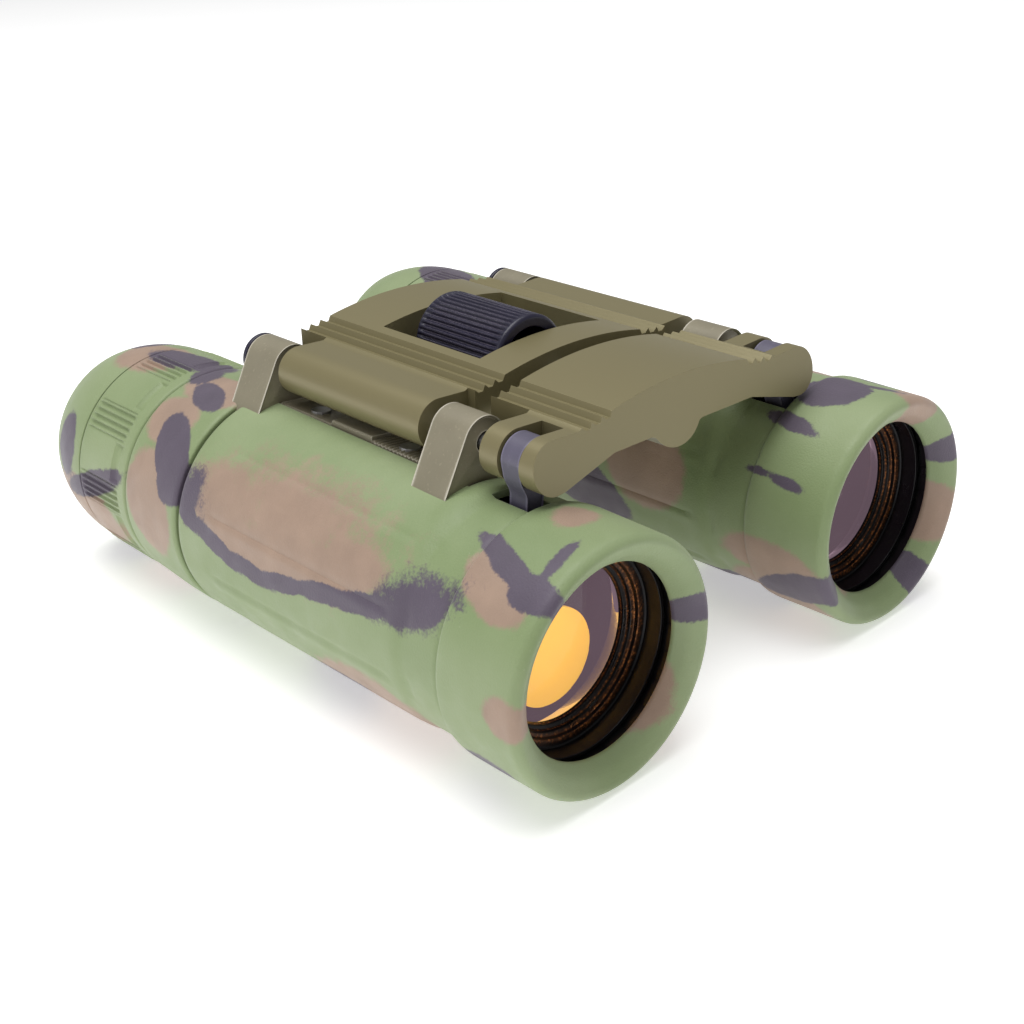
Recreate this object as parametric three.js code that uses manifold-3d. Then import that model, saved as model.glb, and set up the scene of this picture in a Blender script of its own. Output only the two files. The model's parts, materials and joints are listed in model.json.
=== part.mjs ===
// Compact double-hinge roof-prism binoculars.
// Millimetres, +Z up. The objectives look along -Y and the eyepieces point to +Y.
// The user's right barrel is on -X. The origin is on the table, under the middle of the whole.
import * as THREE from 'three';
import { mergeVertices } from 'three/addons/utils/BufferGeometryUtils.js';
import Module from 'manifold-3d';

const wasm = await Module();
wasm.setup();

// ---------------------------------------------------------------- driving dimensions
const clearance = 0.3;             // between any two pieces that fit together
const outerSegments = 30;          // round outside pieces
const tubeSegments = 24;           // the tubes inside them
const innerSegments = 18;          // smaller round pieces
const smallSegments = 12;          // pins and screws

// hinges and posture
const hingeHalf = 21.5;            // each hinge axis from the middle of the bridge
const knuckleRadius = 3.13;
const knuckleLift = 0.82;          // gap between the long knuckle and the pad under it
const pinRadius = 1.0;
const rightFold = 4.9;             // degrees that each barrel stands outward at rest
const leftFold = 20.8;

// motions
const focusForward = 1.2;          // travel of the front plate from its place at rest
const focusBack = 1.8;
const dioptreTravel = 0.6;         // each way

// lengths along the hinge, front to rear
const knuckleTwoLength = 2.8;
const knuckleOneLength = 2.95;
const plateLip = 0.1;              // front plate ahead of its first knuckle
const armRingWidth = 2.85;
const earWidth = 6.1;
const earRearWidth = 6.4;
const longKnuckleLength = 28.1;
const plateSetback = 1.9;          // end of the front plate ahead of the front ear's end
const plateGap = 1.0;              // left between the plates with the front one full back
const knuckleSetback = 1.2;        // long knuckle behind the rear plate's front
const capLength = 0.9;

// lengths along a barrel
const hoodLength = 12.7;
const hoodInnerEdge = 3.1;         // depth of the mouth's wall
const saddleOverlap = 2.0;         // rear ear past the armour's end
const housingLength = 13.3;
const housingPlain = 4.0;          // straight front part of the housing
const gripLength = 12.6;
const neckLength = 4.0;            // thin rear neck of the grip ring
const cupLength = 11.3;

// bridge plates
const frontPlateRake = 1.1;        // how far the top of its front face leans back
const crownEdge = 3.87;            // height of its edge over the hinge axis
const crownRise = 1.25;            // further height at the middle
const crownHalf = 11.9;            // half width of the arched middle
const ribCount = 3;                // ribs from the arch to the shelf under each ear
const ribDrop = 0.22;              // each rib lies this much lower than the one before
const ribDepth = 0.6;
const plateFlat = -0.9;            // underside of the plates
const flatStep = 0.3;              // flat of the underside past the arch
const bossRadius = 4.6;
const bossWall = 2.6;              // front wall of the boss
const pinWall = 1.4;               // front wall over the guide pins
const notchWall = 0.9;             // plate left beside the arm ring
const wheelSideGap = 2.99;         // window past the wheel, on the side it stands off to
const earShelfGap = 0.34;
const windowFront = 6.0;           // rear plate ahead of the window
const webInset = 1.0;              // bearing webs inside the window's sides
const webDepth = 3.6;              // underside of the webs, under the hinge axis
const webLength = 3.0;
const clipPocketLength = 4.55;
const clipSideGap = 1.6;
const bridgeRearWall = 2.4;

// focusing
const focusAxisX = -1.5;
const focusAxisZ = 1.4;            // over the hinge axis
const wheelRadius = 6.05;
const wheelWall = 1.55;
const wheelWeb = 4.0;              // solid rear part of the wheel
const wheelLength = 15.9;
const wheelRearGap = 2.55;
const wheelRibs = 40;
const wheelRibDepth = 0.35;
const screwRadius = 1.5;
const screwTipGap = 0.8;           // left ahead of the screw with the plate full back
const screwTail = 2.0;
const clipRadius = 2.4;
const clipThickness = 0.8;
const nutRadius = 2.8;
const nutLength = 6.0;

// objective
const objectiveRadius = 11.3;
const objectiveEdge = 3.6;
const objectiveBulge = 1.1;
const objectiveRearBulge = 0.8;
const objectiveMargin = 1.8;       // lens edge hidden by the ring
const ringLead = 2.9;              // ring ahead of the lens
const ringStep = 1.5;
const carrierWall = 0.55;
const lensRoom = 0.75;             // carrier wall around the lens
const carrierTail = 5.5;           // carrier behind the arm's foot
const seatDepth = 0.6;
const armHalf = 1.2;
const armLength = 2.3;
const armRingRadius = 2.85;
const armPlay = 0.75;              // slot behind the arm when full back

// barrel walls
const tubeWall = 1.1;
const armourFrontWall = 0.8;
const armourRearWall = 1.45;
const armourDip = 0.2;             // lower front band of the armour
const hoodWall = 1.2;
const hoodRearWall = 1.3;
const mouthMargin = 0.3;           // mouth of the hood past the lens
const stripHalf = 2.0;
const stripRise = 1.15;
const padRise = 0.55;
const padHalfLength = 4.0;
const footRise = 0.1;              // saddle over the armour's bore
const earFootOut = 5.9;            // foot reach on the outer side
const earFootIn = 4.4;
const saddleScrewRadius = 0.7;
const saddleHeadRadius = 1.3;
const frontScrewInset = 5.2;       // screws from the ends of the long knuckle
const rearScrewInset = 4.9;

// prisms
const prismMargin = 3.8;           // prism face smaller than the objective
const prismNarrowing = 0.5;
const prismLength = 24.0;
const prismGap = 0.5;
const prismGapStart = 5.5;         // top of the air gap behind the first face
const prismLean = 22.5;            // degrees of the air gap from upright
const maskGap = 1.9;
const maskLead = 3.0;
const maskThickness = 1.2;
const maskMargin = 0.9;            // mask opening smaller than the prism
const cageLead = 1.2;
const cageTail = 1.5;

// eyepiece
const housingWall = 1.5;
const housingRearWall = 1.1;
const insetGap = 4.0;              // housing's inner sleeve behind the prism cage
const spigotStep = 0.4;
const spigotWall = 1.2;
const spigotTail = 1.5;
const gripStep = 0.1;
const neckWall = 1.0;
const cupRearStep = 2.0;
const cupMouth = 10.6;
const cellStartInset = 2.7;
const cellEndInset = 1.3;
const cellWall = 1.4;
const cellSeatStep = 1.1;
const lensEdge = 3.2;
const fieldInset = 2.2;
const eyeInset = 1.5;
const stopRadius = 6.0;
const eyeRingStep = 2.1;

// ---------------------------------------------------------------- sizes that follow
// round sizes, from the objective outward
const carrierBore = objectiveRadius + lensRoom;
const carrierRadius = carrierBore + carrierWall;
const tubeBore = carrierRadius + clearance;
const tubeRadius = tubeBore + tubeWall;
const armourBore = tubeRadius + clearance;
const armourFrontRadius = armourBore + armourFrontWall;
const armourRearRadius = armourBore + armourRearWall;
const hoodRadius = armourBore + hoodWall;
const hoodRearRadius = armourBore + hoodRearWall;
const hoodMouth = objectiveRadius + mouthMargin;
const objectiveClear = objectiveRadius - objectiveMargin;
const seatBore = objectiveClear + seatDepth;
const stripTop = armourBore + stripRise;
const padTop = stripTop + padRise;
const hingeArm = padTop + knuckleLift + knuckleRadius;
const prismHalf = objectiveRadius - prismMargin;
const prismHalfWidth = prismHalf - prismNarrowing;
const housingRadius = armourBore + housingWall;
const housingRearRadius = armourBore + housingRearWall;
const sleeveRadius = tubeBore - clearance;
const spigotRadius = tubeBore - spigotStep;
const spigotBore = spigotRadius - spigotWall;
const gripRadius = housingRearRadius - gripStep;
const gripBore = spigotRadius + clearance;
const neckRadius = gripBore + neckWall;
const cupRearRadius = gripRadius - cupRearStep;
const cupBore = neckRadius + clearance;
const cellRadius = spigotBore - clearance;
const cellBore = cellRadius - cellWall;
const eyeLensRadius = cellBore - clearance;
const pinHole = pinRadius + clearance;
const screwHole = screwRadius + clearance;
const wheelBore = wheelRadius - wheelWall;
const windowHalf = wheelRadius + Math.abs(focusAxisX) + wheelSideGap;
const flatHalf = crownHalf + flatStep;
const shelfStart = hingeHalf - earFootIn - earShelfGap;
const ribPitch = (shelfStart - crownHalf) / ribCount;
const clipPocketHalf = clipRadius + clipSideGap;
const clipPocketRoof = clipRadius + clearance;
const plateReach = hingeHalf + knuckleRadius + 1;
const restRadius = Math.max(armourRearRadius, hoodRearRadius, housingRadius);

// places along Y, measured back from the front of the hoods
const armPostStart = hoodLength + clearance + focusForward;
const armPostEnd = armPostStart + armLength;
const armRingStart = armPostStart - plateLip;
const armRingEnd = armRingStart + armRingWidth;
const slotEnd = armPostEnd + focusBack + armPlay;
const knuckleTwoEnd = armRingStart - clearance;
const knuckleTwoStart = knuckleTwoEnd - knuckleTwoLength;
const frontPlateStart = knuckleTwoStart - plateLip;
const knuckleOneStart = armRingEnd + clearance;
const knuckleOneEnd = knuckleOneStart + knuckleOneLength;
const earFrontStart = knuckleOneEnd + focusBack + 2 * clearance;
const earFrontEnd = earFrontStart + earWidth;
const frontPlateEnd = earFrontEnd - plateSetback;
const bridgeStart = frontPlateEnd + focusBack + plateGap;
const longKnuckleStart = bridgeStart + knuckleSetback;
const longKnuckleEnd = longKnuckleStart + longKnuckleLength;
const earRearStart = longKnuckleEnd + 3 * clearance;
const earRearEnd = earRearStart + earRearWidth;
const capStart = earRearEnd + clearance;
const windowStart = bridgeStart + windowFront;
const wheelStart = windowStart + 2 * clearance;
const wheelEnd = wheelStart + wheelLength;
const windowEnd = wheelEnd + wheelRearGap;
const clipPocketStart = windowEnd + webLength;
const clipStart = clipPocketStart + 2 * clearance;
const bridgeEnd = clipPocketStart + clipPocketLength + bridgeRearWall;
const screwStart = frontPlateStart + bossWall + focusBack + screwTipGap;
const nutStart = frontPlateEnd - nutLength;

const armourStart = hoodLength + clearance;
const armourEnd = earRearEnd - saddleOverlap;
const tubeStart = hoodInnerEdge + clearance;
const carrierStart = tubeStart + focusForward + clearance;
const carrierEnd = armPostEnd + carrierTail;
const objectiveStart = armPostStart - 2 * clearance - objectiveEdge;
const ringStart = objectiveStart - ringLead;
const maskStart = carrierEnd + focusBack + clearance + maskGap;
const prismStart = maskStart + maskLead;
const prismEnd = prismStart + prismLength;
const gapTop = prismStart + prismGapStart;
const gapLean = 2 * prismHalf * Math.tan(radians(prismLean));
const sleeveStart = prismEnd + cageTail + insetGap;
const housingStart = armourEnd + 2 * clearance;
const housingEnd = housingStart + housingLength;
const gripStart = housingEnd + clearance;
const gripEnd = gripStart + gripLength;
const neckEnd = gripEnd + neckLength;
const spigotEnd = neckEnd + spigotTail;
const cupStart = gripEnd + clearance;
const overallLength = cupStart + cupLength;
const cellStart = housingStart + cellStartInset;
const cellEnd = spigotEnd - dioptreTravel - cellEndInset;
const fieldLensStart = cellStart + fieldInset + clearance;
const eyeLensStart = cellEnd - eyeInset - lensEdge - clearance;
const screwPlaces = [
  ['front', longKnuckleStart + frontScrewInset],
  ['rear', longKnuckleEnd - rearScrewInset],
];

// posture: the bridge tips until both barrels stand on the table
const rightAxis = barrelAxis(-1, rightFold);
const leftAxis = barrelAxis(1, leftFold);
const bridgeTilt = Math.atan2(leftAxis[1] - rightAxis[1], leftAxis[0] - rightAxis[0]);

// where a barrel's axis lies in the bridge's frame, as [x, z]
function barrelAxis(side, fold) {
  return [side * (hingeHalf + hingeArm * Math.sin(radians(fold))), -hingeArm * Math.cos(radians(fold))];
}

// ---------------------------------------------------------------- materials
const finish = (colour, roughness, metalness = 0) =>
  new THREE.MeshStandardMaterial({ color: colour, roughness, metalness });
const greenRubber = finish(0x8fa577, 0.72);
const greenPlastic = finish(0x93a97c, 0.6);
const olivePaint = finish(0x7d7852, 0.45);
const darkRubber = finish(0x2c2a3c, 0.5);
const purplePlastic = finish(0x5a5178, 0.55);
const blackPlastic = finish(0x15161a, 0.6);
const blackMetal = finish(0x1d1d20, 0.4, 0.6);
const steel = finish(0xb7b8ba, 0.3, 1);
const brass = finish(0xb08d4a, 0.35, 1);
const glass = finish(0xb49ba8, 0.05);

// ---------------------------------------------------------------- solid tools
function radians(degrees) {
  return degrees * Math.PI / 180;
}

// a closed geometry as a solid, with shared corners merged and flat slivers dropped
function solid(geometry) {
  geometry.deleteAttribute('normal');
  geometry.deleteAttribute('uv');
  const merged = mergeVertices(geometry, 1e-5);
  const index = merged.index.array;
  const triangles = [];
  for (let i = 0; i < index.length; i += 3) {
    const [a, b, c] = [index[i], index[i + 1], index[i + 2]];
    if (a !== b && b !== c && c !== a) triangles.push(a, b, c);
  }
  return new wasm.Manifold(new wasm.Mesh({
    numProp: 3,
    vertProperties: new Float32Array(merged.attributes.position.array),
    triVerts: new Uint32Array(triangles),
  }));
}

// a solid as a geometry again
function surface(body) {
  const mesh = body.getMesh();
  const geometry = new THREE.BufferGeometry();
  geometry.setAttribute('position', new THREE.BufferAttribute(new Float32Array(mesh.vertProperties), 3));
  geometry.setIndex(new THREE.BufferAttribute(new Uint32Array(mesh.triVerts), 1));
  geometry.computeVertexNormals();
  return geometry;
}

// a profile of [radius, y] points, closed on itself, turned about the Y axis
function turned(profile, segments) {
  let area = 0;
  for (let i = 0; i < profile.length; i += 1) {
    const [r0, y0] = profile[i];
    const [r1, y1] = profile[(i + 1) % profile.length];
    area += r0 * y1 - r1 * y0;
  }
  const ordered = area > 0 ? profile : [...profile].reverse();
  const points = [...ordered, ordered[0]].map(([r, y]) => new THREE.Vector2(r, y));
  return solid(new THREE.LatheGeometry(points, segments));
}

// an outline of [x, z] points carried along Y
function slab(outline, yStart, yEnd) {
  const shape = new THREE.Shape(outline.map(([x, z]) => new THREE.Vector2(x, z)));
  const geometry = new THREE.ExtrudeGeometry(shape, { depth: yEnd - yStart, bevelEnabled: false });
  geometry.rotateX(Math.PI / 2);
  geometry.translate(0, yEnd, 0);
  return solid(geometry);
}

// an outline of [y, z] points carried along X
function bar(outline, xStart, xEnd) {
  const shape = new THREE.Shape(outline.map(([y, z]) => new THREE.Vector2(y, z)));
  const geometry = new THREE.ExtrudeGeometry(shape, { depth: xEnd - xStart, bevelEnabled: false });
  const axes = [new THREE.Vector3(0, 1, 0), new THREE.Vector3(0, 0, 1), new THREE.Vector3(1, 0, 0)];
  geometry.applyMatrix4(new THREE.Matrix4().makeBasis(...axes));
  geometry.translate(xStart, 0, 0);
  return solid(geometry);
}

// a box between two corners
function block(xRange, yRange, zRange) {
  const size = [xRange, yRange, zRange].map(([low, high]) => high - low);
  const middle = [xRange, yRange, zRange].map(([low, high]) => (low + high) / 2);
  const geometry = new THREE.BoxGeometry(...size);
  geometry.translate(...middle);
  return solid(geometry);
}

// a rod along Y
function rod(radius, yStart, yEnd, x = 0, z = 0, segments = smallSegments) {
  return turned([[0, yStart], [radius, yStart], [radius, yEnd], [0, yEnd]], segments).translate([x, 0, z]);
}

// a rod along Z
function post(radius, zStart, zEnd, y) {
  return rod(radius, zStart, zEnd).rotate([90, 0, 0]).translate([0, y, 0]);
}

// a plain ring about the Y axis
function ring(inner, outer, yStart, yEnd, segments = innerSegments) {
  return turned([[inner, yStart], [outer, yStart], [outer, yEnd], [inner, yEnd]], segments);
}

// points on an arc, angles in degrees from +x
function arc(x, z, radius, from, to, steps) {
  return Array.from({ length: steps + 1 }, (unused, i) => {
    const angle = radians(from + (to - from) * i / steps);
    return [x + radius * Math.cos(angle), z + radius * Math.sin(angle)];
  });
}

// a lens about the Y axis; each bulge is positive where the face is convex
function lens(radius, yStart, edge, frontBulge, rearBulge) {
  const steps = 4;
  const face = (y, bulge) => Array.from({ length: steps + 1 }, (unused, i) => {
    const r = radius * i / steps;
    return [r, y + bulge * (1 - (r / radius) ** 2)];
  });
  return turned([...face(yStart, -frontBulge), ...face(yStart + edge, rearBulge).reverse()], innerSegments);
}

// an [x] range on one side of the middle, low end first
function span(side, inner, outer) {
  return [side * inner, side * outer].sort((a, b) => a - b);
}

function piece(name, body, material) {
  const mesh = new THREE.Mesh(surface(body), material);
  mesh.name = name;
  return mesh;
}

// ---------------------------------------------------------------- bridge
// half of the top outline, from the edge of the arch out to the shelf
function ribbedEdge() {
  const points = [[crownHalf, crownEdge]];
  for (let i = 1; i <= ribCount; i += 1) {
    const x = crownHalf + i * ribPitch;
    const z = crownEdge - i * ribDrop;
    const groove = z - ribDepth + ribDrop / 2;
    points.push([x - 0.75 * ribPitch, groove], [x - 0.35 * ribPitch, groove], [x, z]);
  }
  return points;
}

// both plates have the same outline: arch, ribs, flat shelves and round knuckles
function plateOutline() {
  const crownRadius = (crownHalf ** 2 + crownRise ** 2) / (2 * crownRise);
  const crownAngle = Math.asin(crownHalf / crownRadius) * 180 / Math.PI;
  const crownCentre = crownEdge + crownRise - crownRadius;
  const crown = arc(0, crownCentre, crownRadius, 90 - crownAngle, 90 + crownAngle, 12);
  const edge = ribbedEdge().slice(1);
  const right = [...edge, ...arc(hingeHalf, 0, knuckleRadius, 90, -90, 10), [flatHalf, plateFlat]];
  const left = right.map(([x, z]) => [-x, z]);
  return [...right.toReversed(), ...crown, ...left];
}

function rearBridge() {
  const [fx, fz] = [focusAxisX, focusAxisZ];
  const webHalf = windowHalf - webInset;
  const [low, high] = [-plateReach, plateReach];
  const webs = block([-webHalf, webHalf], [bridgeStart, bridgeEnd], [-webDepth, crownEdge / 2]);
  const pocketEnd = clipPocketStart + clipPocketLength;
  let body = slab(plateOutline(), bridgeStart, bridgeEnd).add(webs);
  body = body.subtract(block([-windowHalf, windowHalf], [windowStart, windowEnd], [low, high]));
  body = body.subtract(rod(screwHole, bridgeStart - 1, pocketEnd - clearance, fx, fz));
  body = body.subtract(block([fx - clipPocketHalf, fx + clipPocketHalf], [clipPocketStart, pocketEnd],
    [low, fz + clipPocketRoof]));
  for (const side of [-1, 1]) {
    const outboard = span(side, shelfStart, plateReach);
    body = body.subtract(block(outboard, [bridgeStart - 1, longKnuckleStart], [low, high]));
    body = body.subtract(block(outboard, [longKnuckleEnd, bridgeEnd + knuckleRadius], [low, high]));
    body = body.subtract(rod(pinHole, bridgeStart - 1, bridgeEnd + 1, side * hingeHalf));
  }
  return body;
}

// what lies ahead of the front plate's leaning face
function rakeCut() {
  const low = -knuckleRadius - 1;
  const high = crownEdge + crownRise + 1;
  const slope = frontPlateRake / (crownEdge + knuckleRadius);
  const foot = frontPlateStart + slope * (low + knuckleRadius);
  const head = frontPlateStart + slope * (high + knuckleRadius);
  return bar([[0, low], [foot, low], [head, high], [0, high]], -plateReach, plateReach);
}

function frontBridge() {
  const [fx, fz] = [focusAxisX, focusAxisZ];
  const [low, high] = [-plateReach, plateReach];
  const pocketEnd = frontPlateEnd + 1;
  const boss = rod(bossRadius, frontPlateStart, frontPlateEnd, fx, fz, tubeSegments);
  let body = slab(plateOutline(), frontPlateStart, frontPlateEnd);
  body = body.add(boss.subtract(block([low, high], [0, pocketEnd], [fz, high])));
  body = body.subtract(rakeCut());
  body = body.subtract(rod(screwHole, frontPlateStart + bossWall, pocketEnd, fx, fz));
  body = body.subtract(rod(nutRadius + clearance, nutStart - 2 * clearance, pocketEnd, fx, fz));
  for (const side of [-1, 1]) {
    const outboard = span(side, shelfStart, plateReach);
    const notch = span(side, shelfStart + notchWall, plateReach);
    body = body.subtract(block(outboard, [knuckleOneEnd, pocketEnd], [low, high]));
    body = body.subtract(block(notch, [knuckleTwoEnd, knuckleOneStart], [low, high]));
    body = body.subtract(rod(pinHole, frontPlateStart + pinWall, pocketEnd, side * hingeHalf));
  }
  return body;
}

function focusWheel() {
  const outline = [];
  for (let i = 0; i < wheelRibs; i += 1) {
    const angle = 360 * i / wheelRibs;
    outline.push(arc(0, 0, wheelRadius, angle, angle, 1)[0]);
    outline.push(arc(0, 0, wheelRadius - wheelRibDepth, angle + 180 / wheelRibs, angle, 1)[0]);
  }
  return slab(outline, wheelStart, wheelEnd)
    .subtract(rod(wheelBore, wheelStart - 1, wheelEnd - wheelWeb, 0, 0, innerSegments))
    .subtract(rod(screwHole, wheelStart, wheelEnd + 1));
}

function bridgePieces(group) {
  group.add(piece('rear_bridge', rearBridge(), olivePaint));
  group.add(piece('front_bridge', frontBridge(), olivePaint));
  const focus = new THREE.Group();
  focus.position.set(focusAxisX, 0, focusAxisZ);
  focus.add(piece('focus_nut', ring(screwHole, nutRadius, nutStart, frontPlateEnd), brass));
  focus.add(piece('focus_wheel', focusWheel(), darkRubber));
  focus.add(piece('focus_screw', rod(screwRadius, screwStart, clipStart + screwTail), steel));
  const clip = ring(screwHole, clipRadius, clipStart, clipStart + clipThickness);
  focus.add(piece('focus_screw_clip', clip, steel));
  group.add(focus);
  const pinStart = frontPlateStart + pinWall + clearance;
  const pinEnd = earRearEnd - focusBack - 2 * clearance;
  for (const [name, side] of [['right', -1], ['left', 1]]) {
    group.add(piece(`${name}_guide_pin`, rod(pinRadius, pinStart, pinEnd, side * hingeHalf), steel));
  }
}

// ---------------------------------------------------------------- one barrel
// In a barrel's own frame its axis is Y and the hinge is straight above at z = hingeArm.
// Outward is side * x.

// outline of an ear: round over the hinge pin, flaring to a wide foot on the tube
function earOutline(side, grow) {
  const foot = armourBore + footRise - grow;
  const outAngle = Math.asin((earFootOut + grow) / armourFrontRadius) * 180 / Math.PI;
  const inAngle = Math.asin((earFootIn + grow) / armourFrontRadius) * 180 / Math.PI;
  const flank = knuckleRadius + grow;
  const points = [
    [flank + 0.25, hingeArm - 1.9],
    [flank + 0.95, hingeArm - 3.2],
    [earFootOut + grow, armourFrontRadius * Math.cos(radians(outAngle)) + grow],
    ...arc(0, 0, foot, 90 - outAngle, 90 + inAngle, 8),
    [-earFootIn - grow, armourFrontRadius * Math.cos(radians(inAngle)) + grow],
    [-flank - 0.35, hingeArm - 2.6],
  ];
  return [...arc(0, hingeArm, flank, 180, 0, 10), ...points].map(([x, z]) => [side * x, z]);
}

function stripOutline(side, top, half) {
  const angle = Math.asin(half / top) * 180 / Math.PI;
  const upper = arc(0, 0, top, 90 - angle, 90 + angle, 2);
  const bottom = arc(0, 0, armourBore + footRise, 90 + angle, 90 - angle, 2);
  return [...upper, ...bottom].map(([x, z]) => [side * x, z]);
}

function hingeSaddle(side) {
  const padMiddle = (longKnuckleStart + longKnuckleEnd) / 2;
  let body = slab(earOutline(side, 0), earFrontStart, earFrontEnd);
  body = body.add(slab(earOutline(side, 0), earRearStart, earRearEnd));
  body = body.add(slab(stripOutline(side, stripTop, stripHalf), earFrontStart + 1, earRearEnd - 1));
  const padRange = [padMiddle - padHalfLength, padMiddle + padHalfLength];
  body = body.add(slab(stripOutline(side, padTop, stripHalf), ...padRange));
  body = body.subtract(rod(pinHole, earFrontStart - 1, earRearEnd + 1, 0, hingeArm));
  for (const [, y] of screwPlaces) {
    body = body.subtract(post(saddleScrewRadius + clearance, tubeBore, padTop, y));
    body = body.subtract(post(saddleHeadRadius + clearance, stripTop - padRise, padTop + 1, y));
  }
  return body;
}

function saddleScrew(y) {
  const head = post(saddleHeadRadius, stripTop - footRise, stripTop + clearance, y);
  return post(saddleScrewRadius, tubeBore + footRise, stripTop, y).add(head);
}

// the room that the saddle takes in what lies around it
function saddleRoom(side) {
  const fringe = clearance;
  let room = slab(earOutline(side, fringe), earFrontStart - fringe, earFrontEnd + fringe);
  room = room.add(slab(earOutline(side, fringe), earRearStart - fringe, earRearEnd + fringe));
  const strip = [-stripHalf - fringe, stripHalf + fringe];
  return room.add(block(strip, [earFrontStart, earRearEnd], [tubeRadius + footRise, hingeArm]));
}

function armRoom() {
  const half = armHalf + armPlay;
  return block([-half, half], [hoodLength, slotEnd], [0, hingeArm]);
}

function barrelTube() {
  let body = ring(tubeBore, tubeRadius, tubeStart, armourEnd, tubeSegments).subtract(armRoom());
  for (const [, y] of screwPlaces) body = body.subtract(post(saddleScrewRadius + clearance, 0, hingeArm, y));
  return body;
}

function armour(side) {
  const dipRadius = armourFrontRadius - armourDip;
  const dipEnd = slotEnd + armourDip;
  const body = turned([[armourBore, armourStart], [dipRadius, armourStart], [dipRadius, dipEnd],
    [armourFrontRadius + armourDip, dipEnd + 1.2], [armourRearRadius, armourEnd - 1.5],
    [armourRearRadius - 0.4, armourEnd], [armourBore, armourEnd]], outerSegments);
  return body.subtract(armRoom()).subtract(saddleRoom(side));
}

function hood() {
  return turned([[hoodMouth + 0.9, 0], [hoodRadius - 1.6, 0], [hoodRadius - 0.45, 0.4], [hoodRadius, 1.5],
    [hoodRearRadius, hoodLength - 0.6], [hoodRearRadius - 0.5, hoodLength], [armourBore, hoodLength],
    [armourBore, hoodInnerEdge], [hoodMouth, hoodInnerEdge], [hoodMouth, 0.8]], outerSegments);
}

function armPostRange(grow) {
  return [armPostStart - grow, armPostEnd + grow];
}

function focusCarrier() {
  const lensSeat = objectiveStart + objectiveEdge + clearance;
  const hole = block([-armHalf - clearance, armHalf + clearance], armPostRange(clearance), [0, hingeArm]);
  return turned([[carrierBore, carrierStart], [carrierRadius, carrierStart], [carrierRadius, carrierEnd],
    [seatBore, carrierEnd], [seatBore, lensSeat], [carrierBore, lensSeat]], tubeSegments).subtract(hole);
}

function focusArm() {
  const eye = rod(armRingRadius, armRingStart, armRingEnd, 0, hingeArm, innerSegments);
  const leg = block([-armHalf, armHalf], armPostRange(0), [seatBore + 0.8, hingeArm - armRingRadius / 2]);
  return eye.add(leg).subtract(rod(pinHole, armRingStart - 1, armRingEnd + 1, 0, hingeArm));
}

function objectiveLens() {
  return lens(objectiveRadius, objectiveStart, objectiveEdge, objectiveBulge, objectiveRearBulge);
}

// a stepped ring that ends just short of the lens's curved front
function objectiveRing() {
  const outer = carrierBore - clearance;
  const bulgeThere = objectiveBulge * (1 - (objectiveClear / objectiveRadius) ** 2);
  const end = objectiveStart - bulgeThere - clearance;
  const stepStart = ringStart + ringStep;
  return turned([[outer, ringStart], [outer, end], [objectiveClear, end], [objectiveClear + 0.5, stepStart],
    [outer - 0.8, stepStart], [outer - 0.6, ringStart]], innerSegments);
}

// A Pechan pair: a half-penta prism, a thin leaning air gap and a roof prism behind it.
function frontPrism() {
  return bar([[prismStart, -prismHalf / 2], [gapTop + gapLean, -prismHalf], [gapTop, prismHalf],
    [prismStart, prismHalf]], -prismHalfWidth, prismHalfWidth);
}

function roofPrism() {
  const side = bar([[gapTop + prismGap, prismHalf], [gapTop + gapLean + prismGap, -prismHalf],
    [prismEnd, -prismHalf], [prismEnd, prismHalf]], -prismHalfWidth, prismHalfWidth);
  const roof = slab([[-prismHalfWidth, -prismHalf], [prismHalfWidth, -prismHalf], [prismHalfWidth, 0],
    [0, prismHalf], [-prismHalfWidth, 0]], prismStart, prismEnd + 1);
  return side.intersect(roof);
}

function prismCage() {
  const [halfWidth, half] = [prismHalfWidth + clearance, prismHalf + clearance];
  const body = rod(sleeveRadius, prismStart - cageLead, prismEnd + cageTail, 0, 0, innerSegments);
  return body.subtract(block([-halfWidth, halfWidth], [0, overallLength], [-half, half]));
}

function prismMask() {
  return ring(prismHalf - maskMargin, sleeveRadius, maskStart, maskStart + maskThickness);
}

function eyepieceHousing(side) {
  const body = turned([[spigotBore, sleeveStart], [sleeveRadius, sleeveStart], [sleeveRadius, housingStart],
    [housingRadius, housingStart], [housingRadius, housingStart + housingPlain],
    [housingRearRadius, housingEnd], [spigotRadius, housingEnd], [spigotRadius, spigotEnd],
    [spigotBore, spigotEnd]], outerSegments);
  return body.subtract(saddleRoom(side));
}

function gripRing() {
  const edge = clearance;
  return turned([[gripBore, gripStart], [gripRadius - edge, gripStart], [gripRadius, gripStart + 1],
    [gripRadius, gripEnd - edge], [gripRadius - edge, gripEnd], [neckRadius, gripEnd], [neckRadius, neckEnd],
    [gripBore, neckEnd]], outerSegments);
}

function eyecup() {
  const rimMiddle = (cupRearRadius + cupMouth) / 2;
  return turned([[cupBore, cupStart], [gripRadius - 0.15, cupStart], [gripRadius - 0.2, overallLength - 5],
    [gripRadius - 0.9, overallLength - 2], [cupRearRadius, overallLength - 0.4], [rimMiddle, overallLength],
    [cupMouth, overallLength - 0.8], [cupMouth, overallLength - 2.2], [cupBore - 0.8, overallLength - 3.4],
    [cupBore, neckEnd + clearance]], outerSegments);
}

function eyepieceCell() {
  const seat = cellBore - cellSeatStep;
  const frontSeat = fieldLensStart + lensEdge + clearance;
  const rearSeat = eyeLensStart - clearance;
  return turned([[cellBore, cellStart], [cellRadius, cellStart], [cellRadius, cellEnd], [cellBore, cellEnd],
    [cellBore, rearSeat], [seat, rearSeat], [seat, frontSeat], [cellBore, frontSeat]], innerSegments);
}

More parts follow.
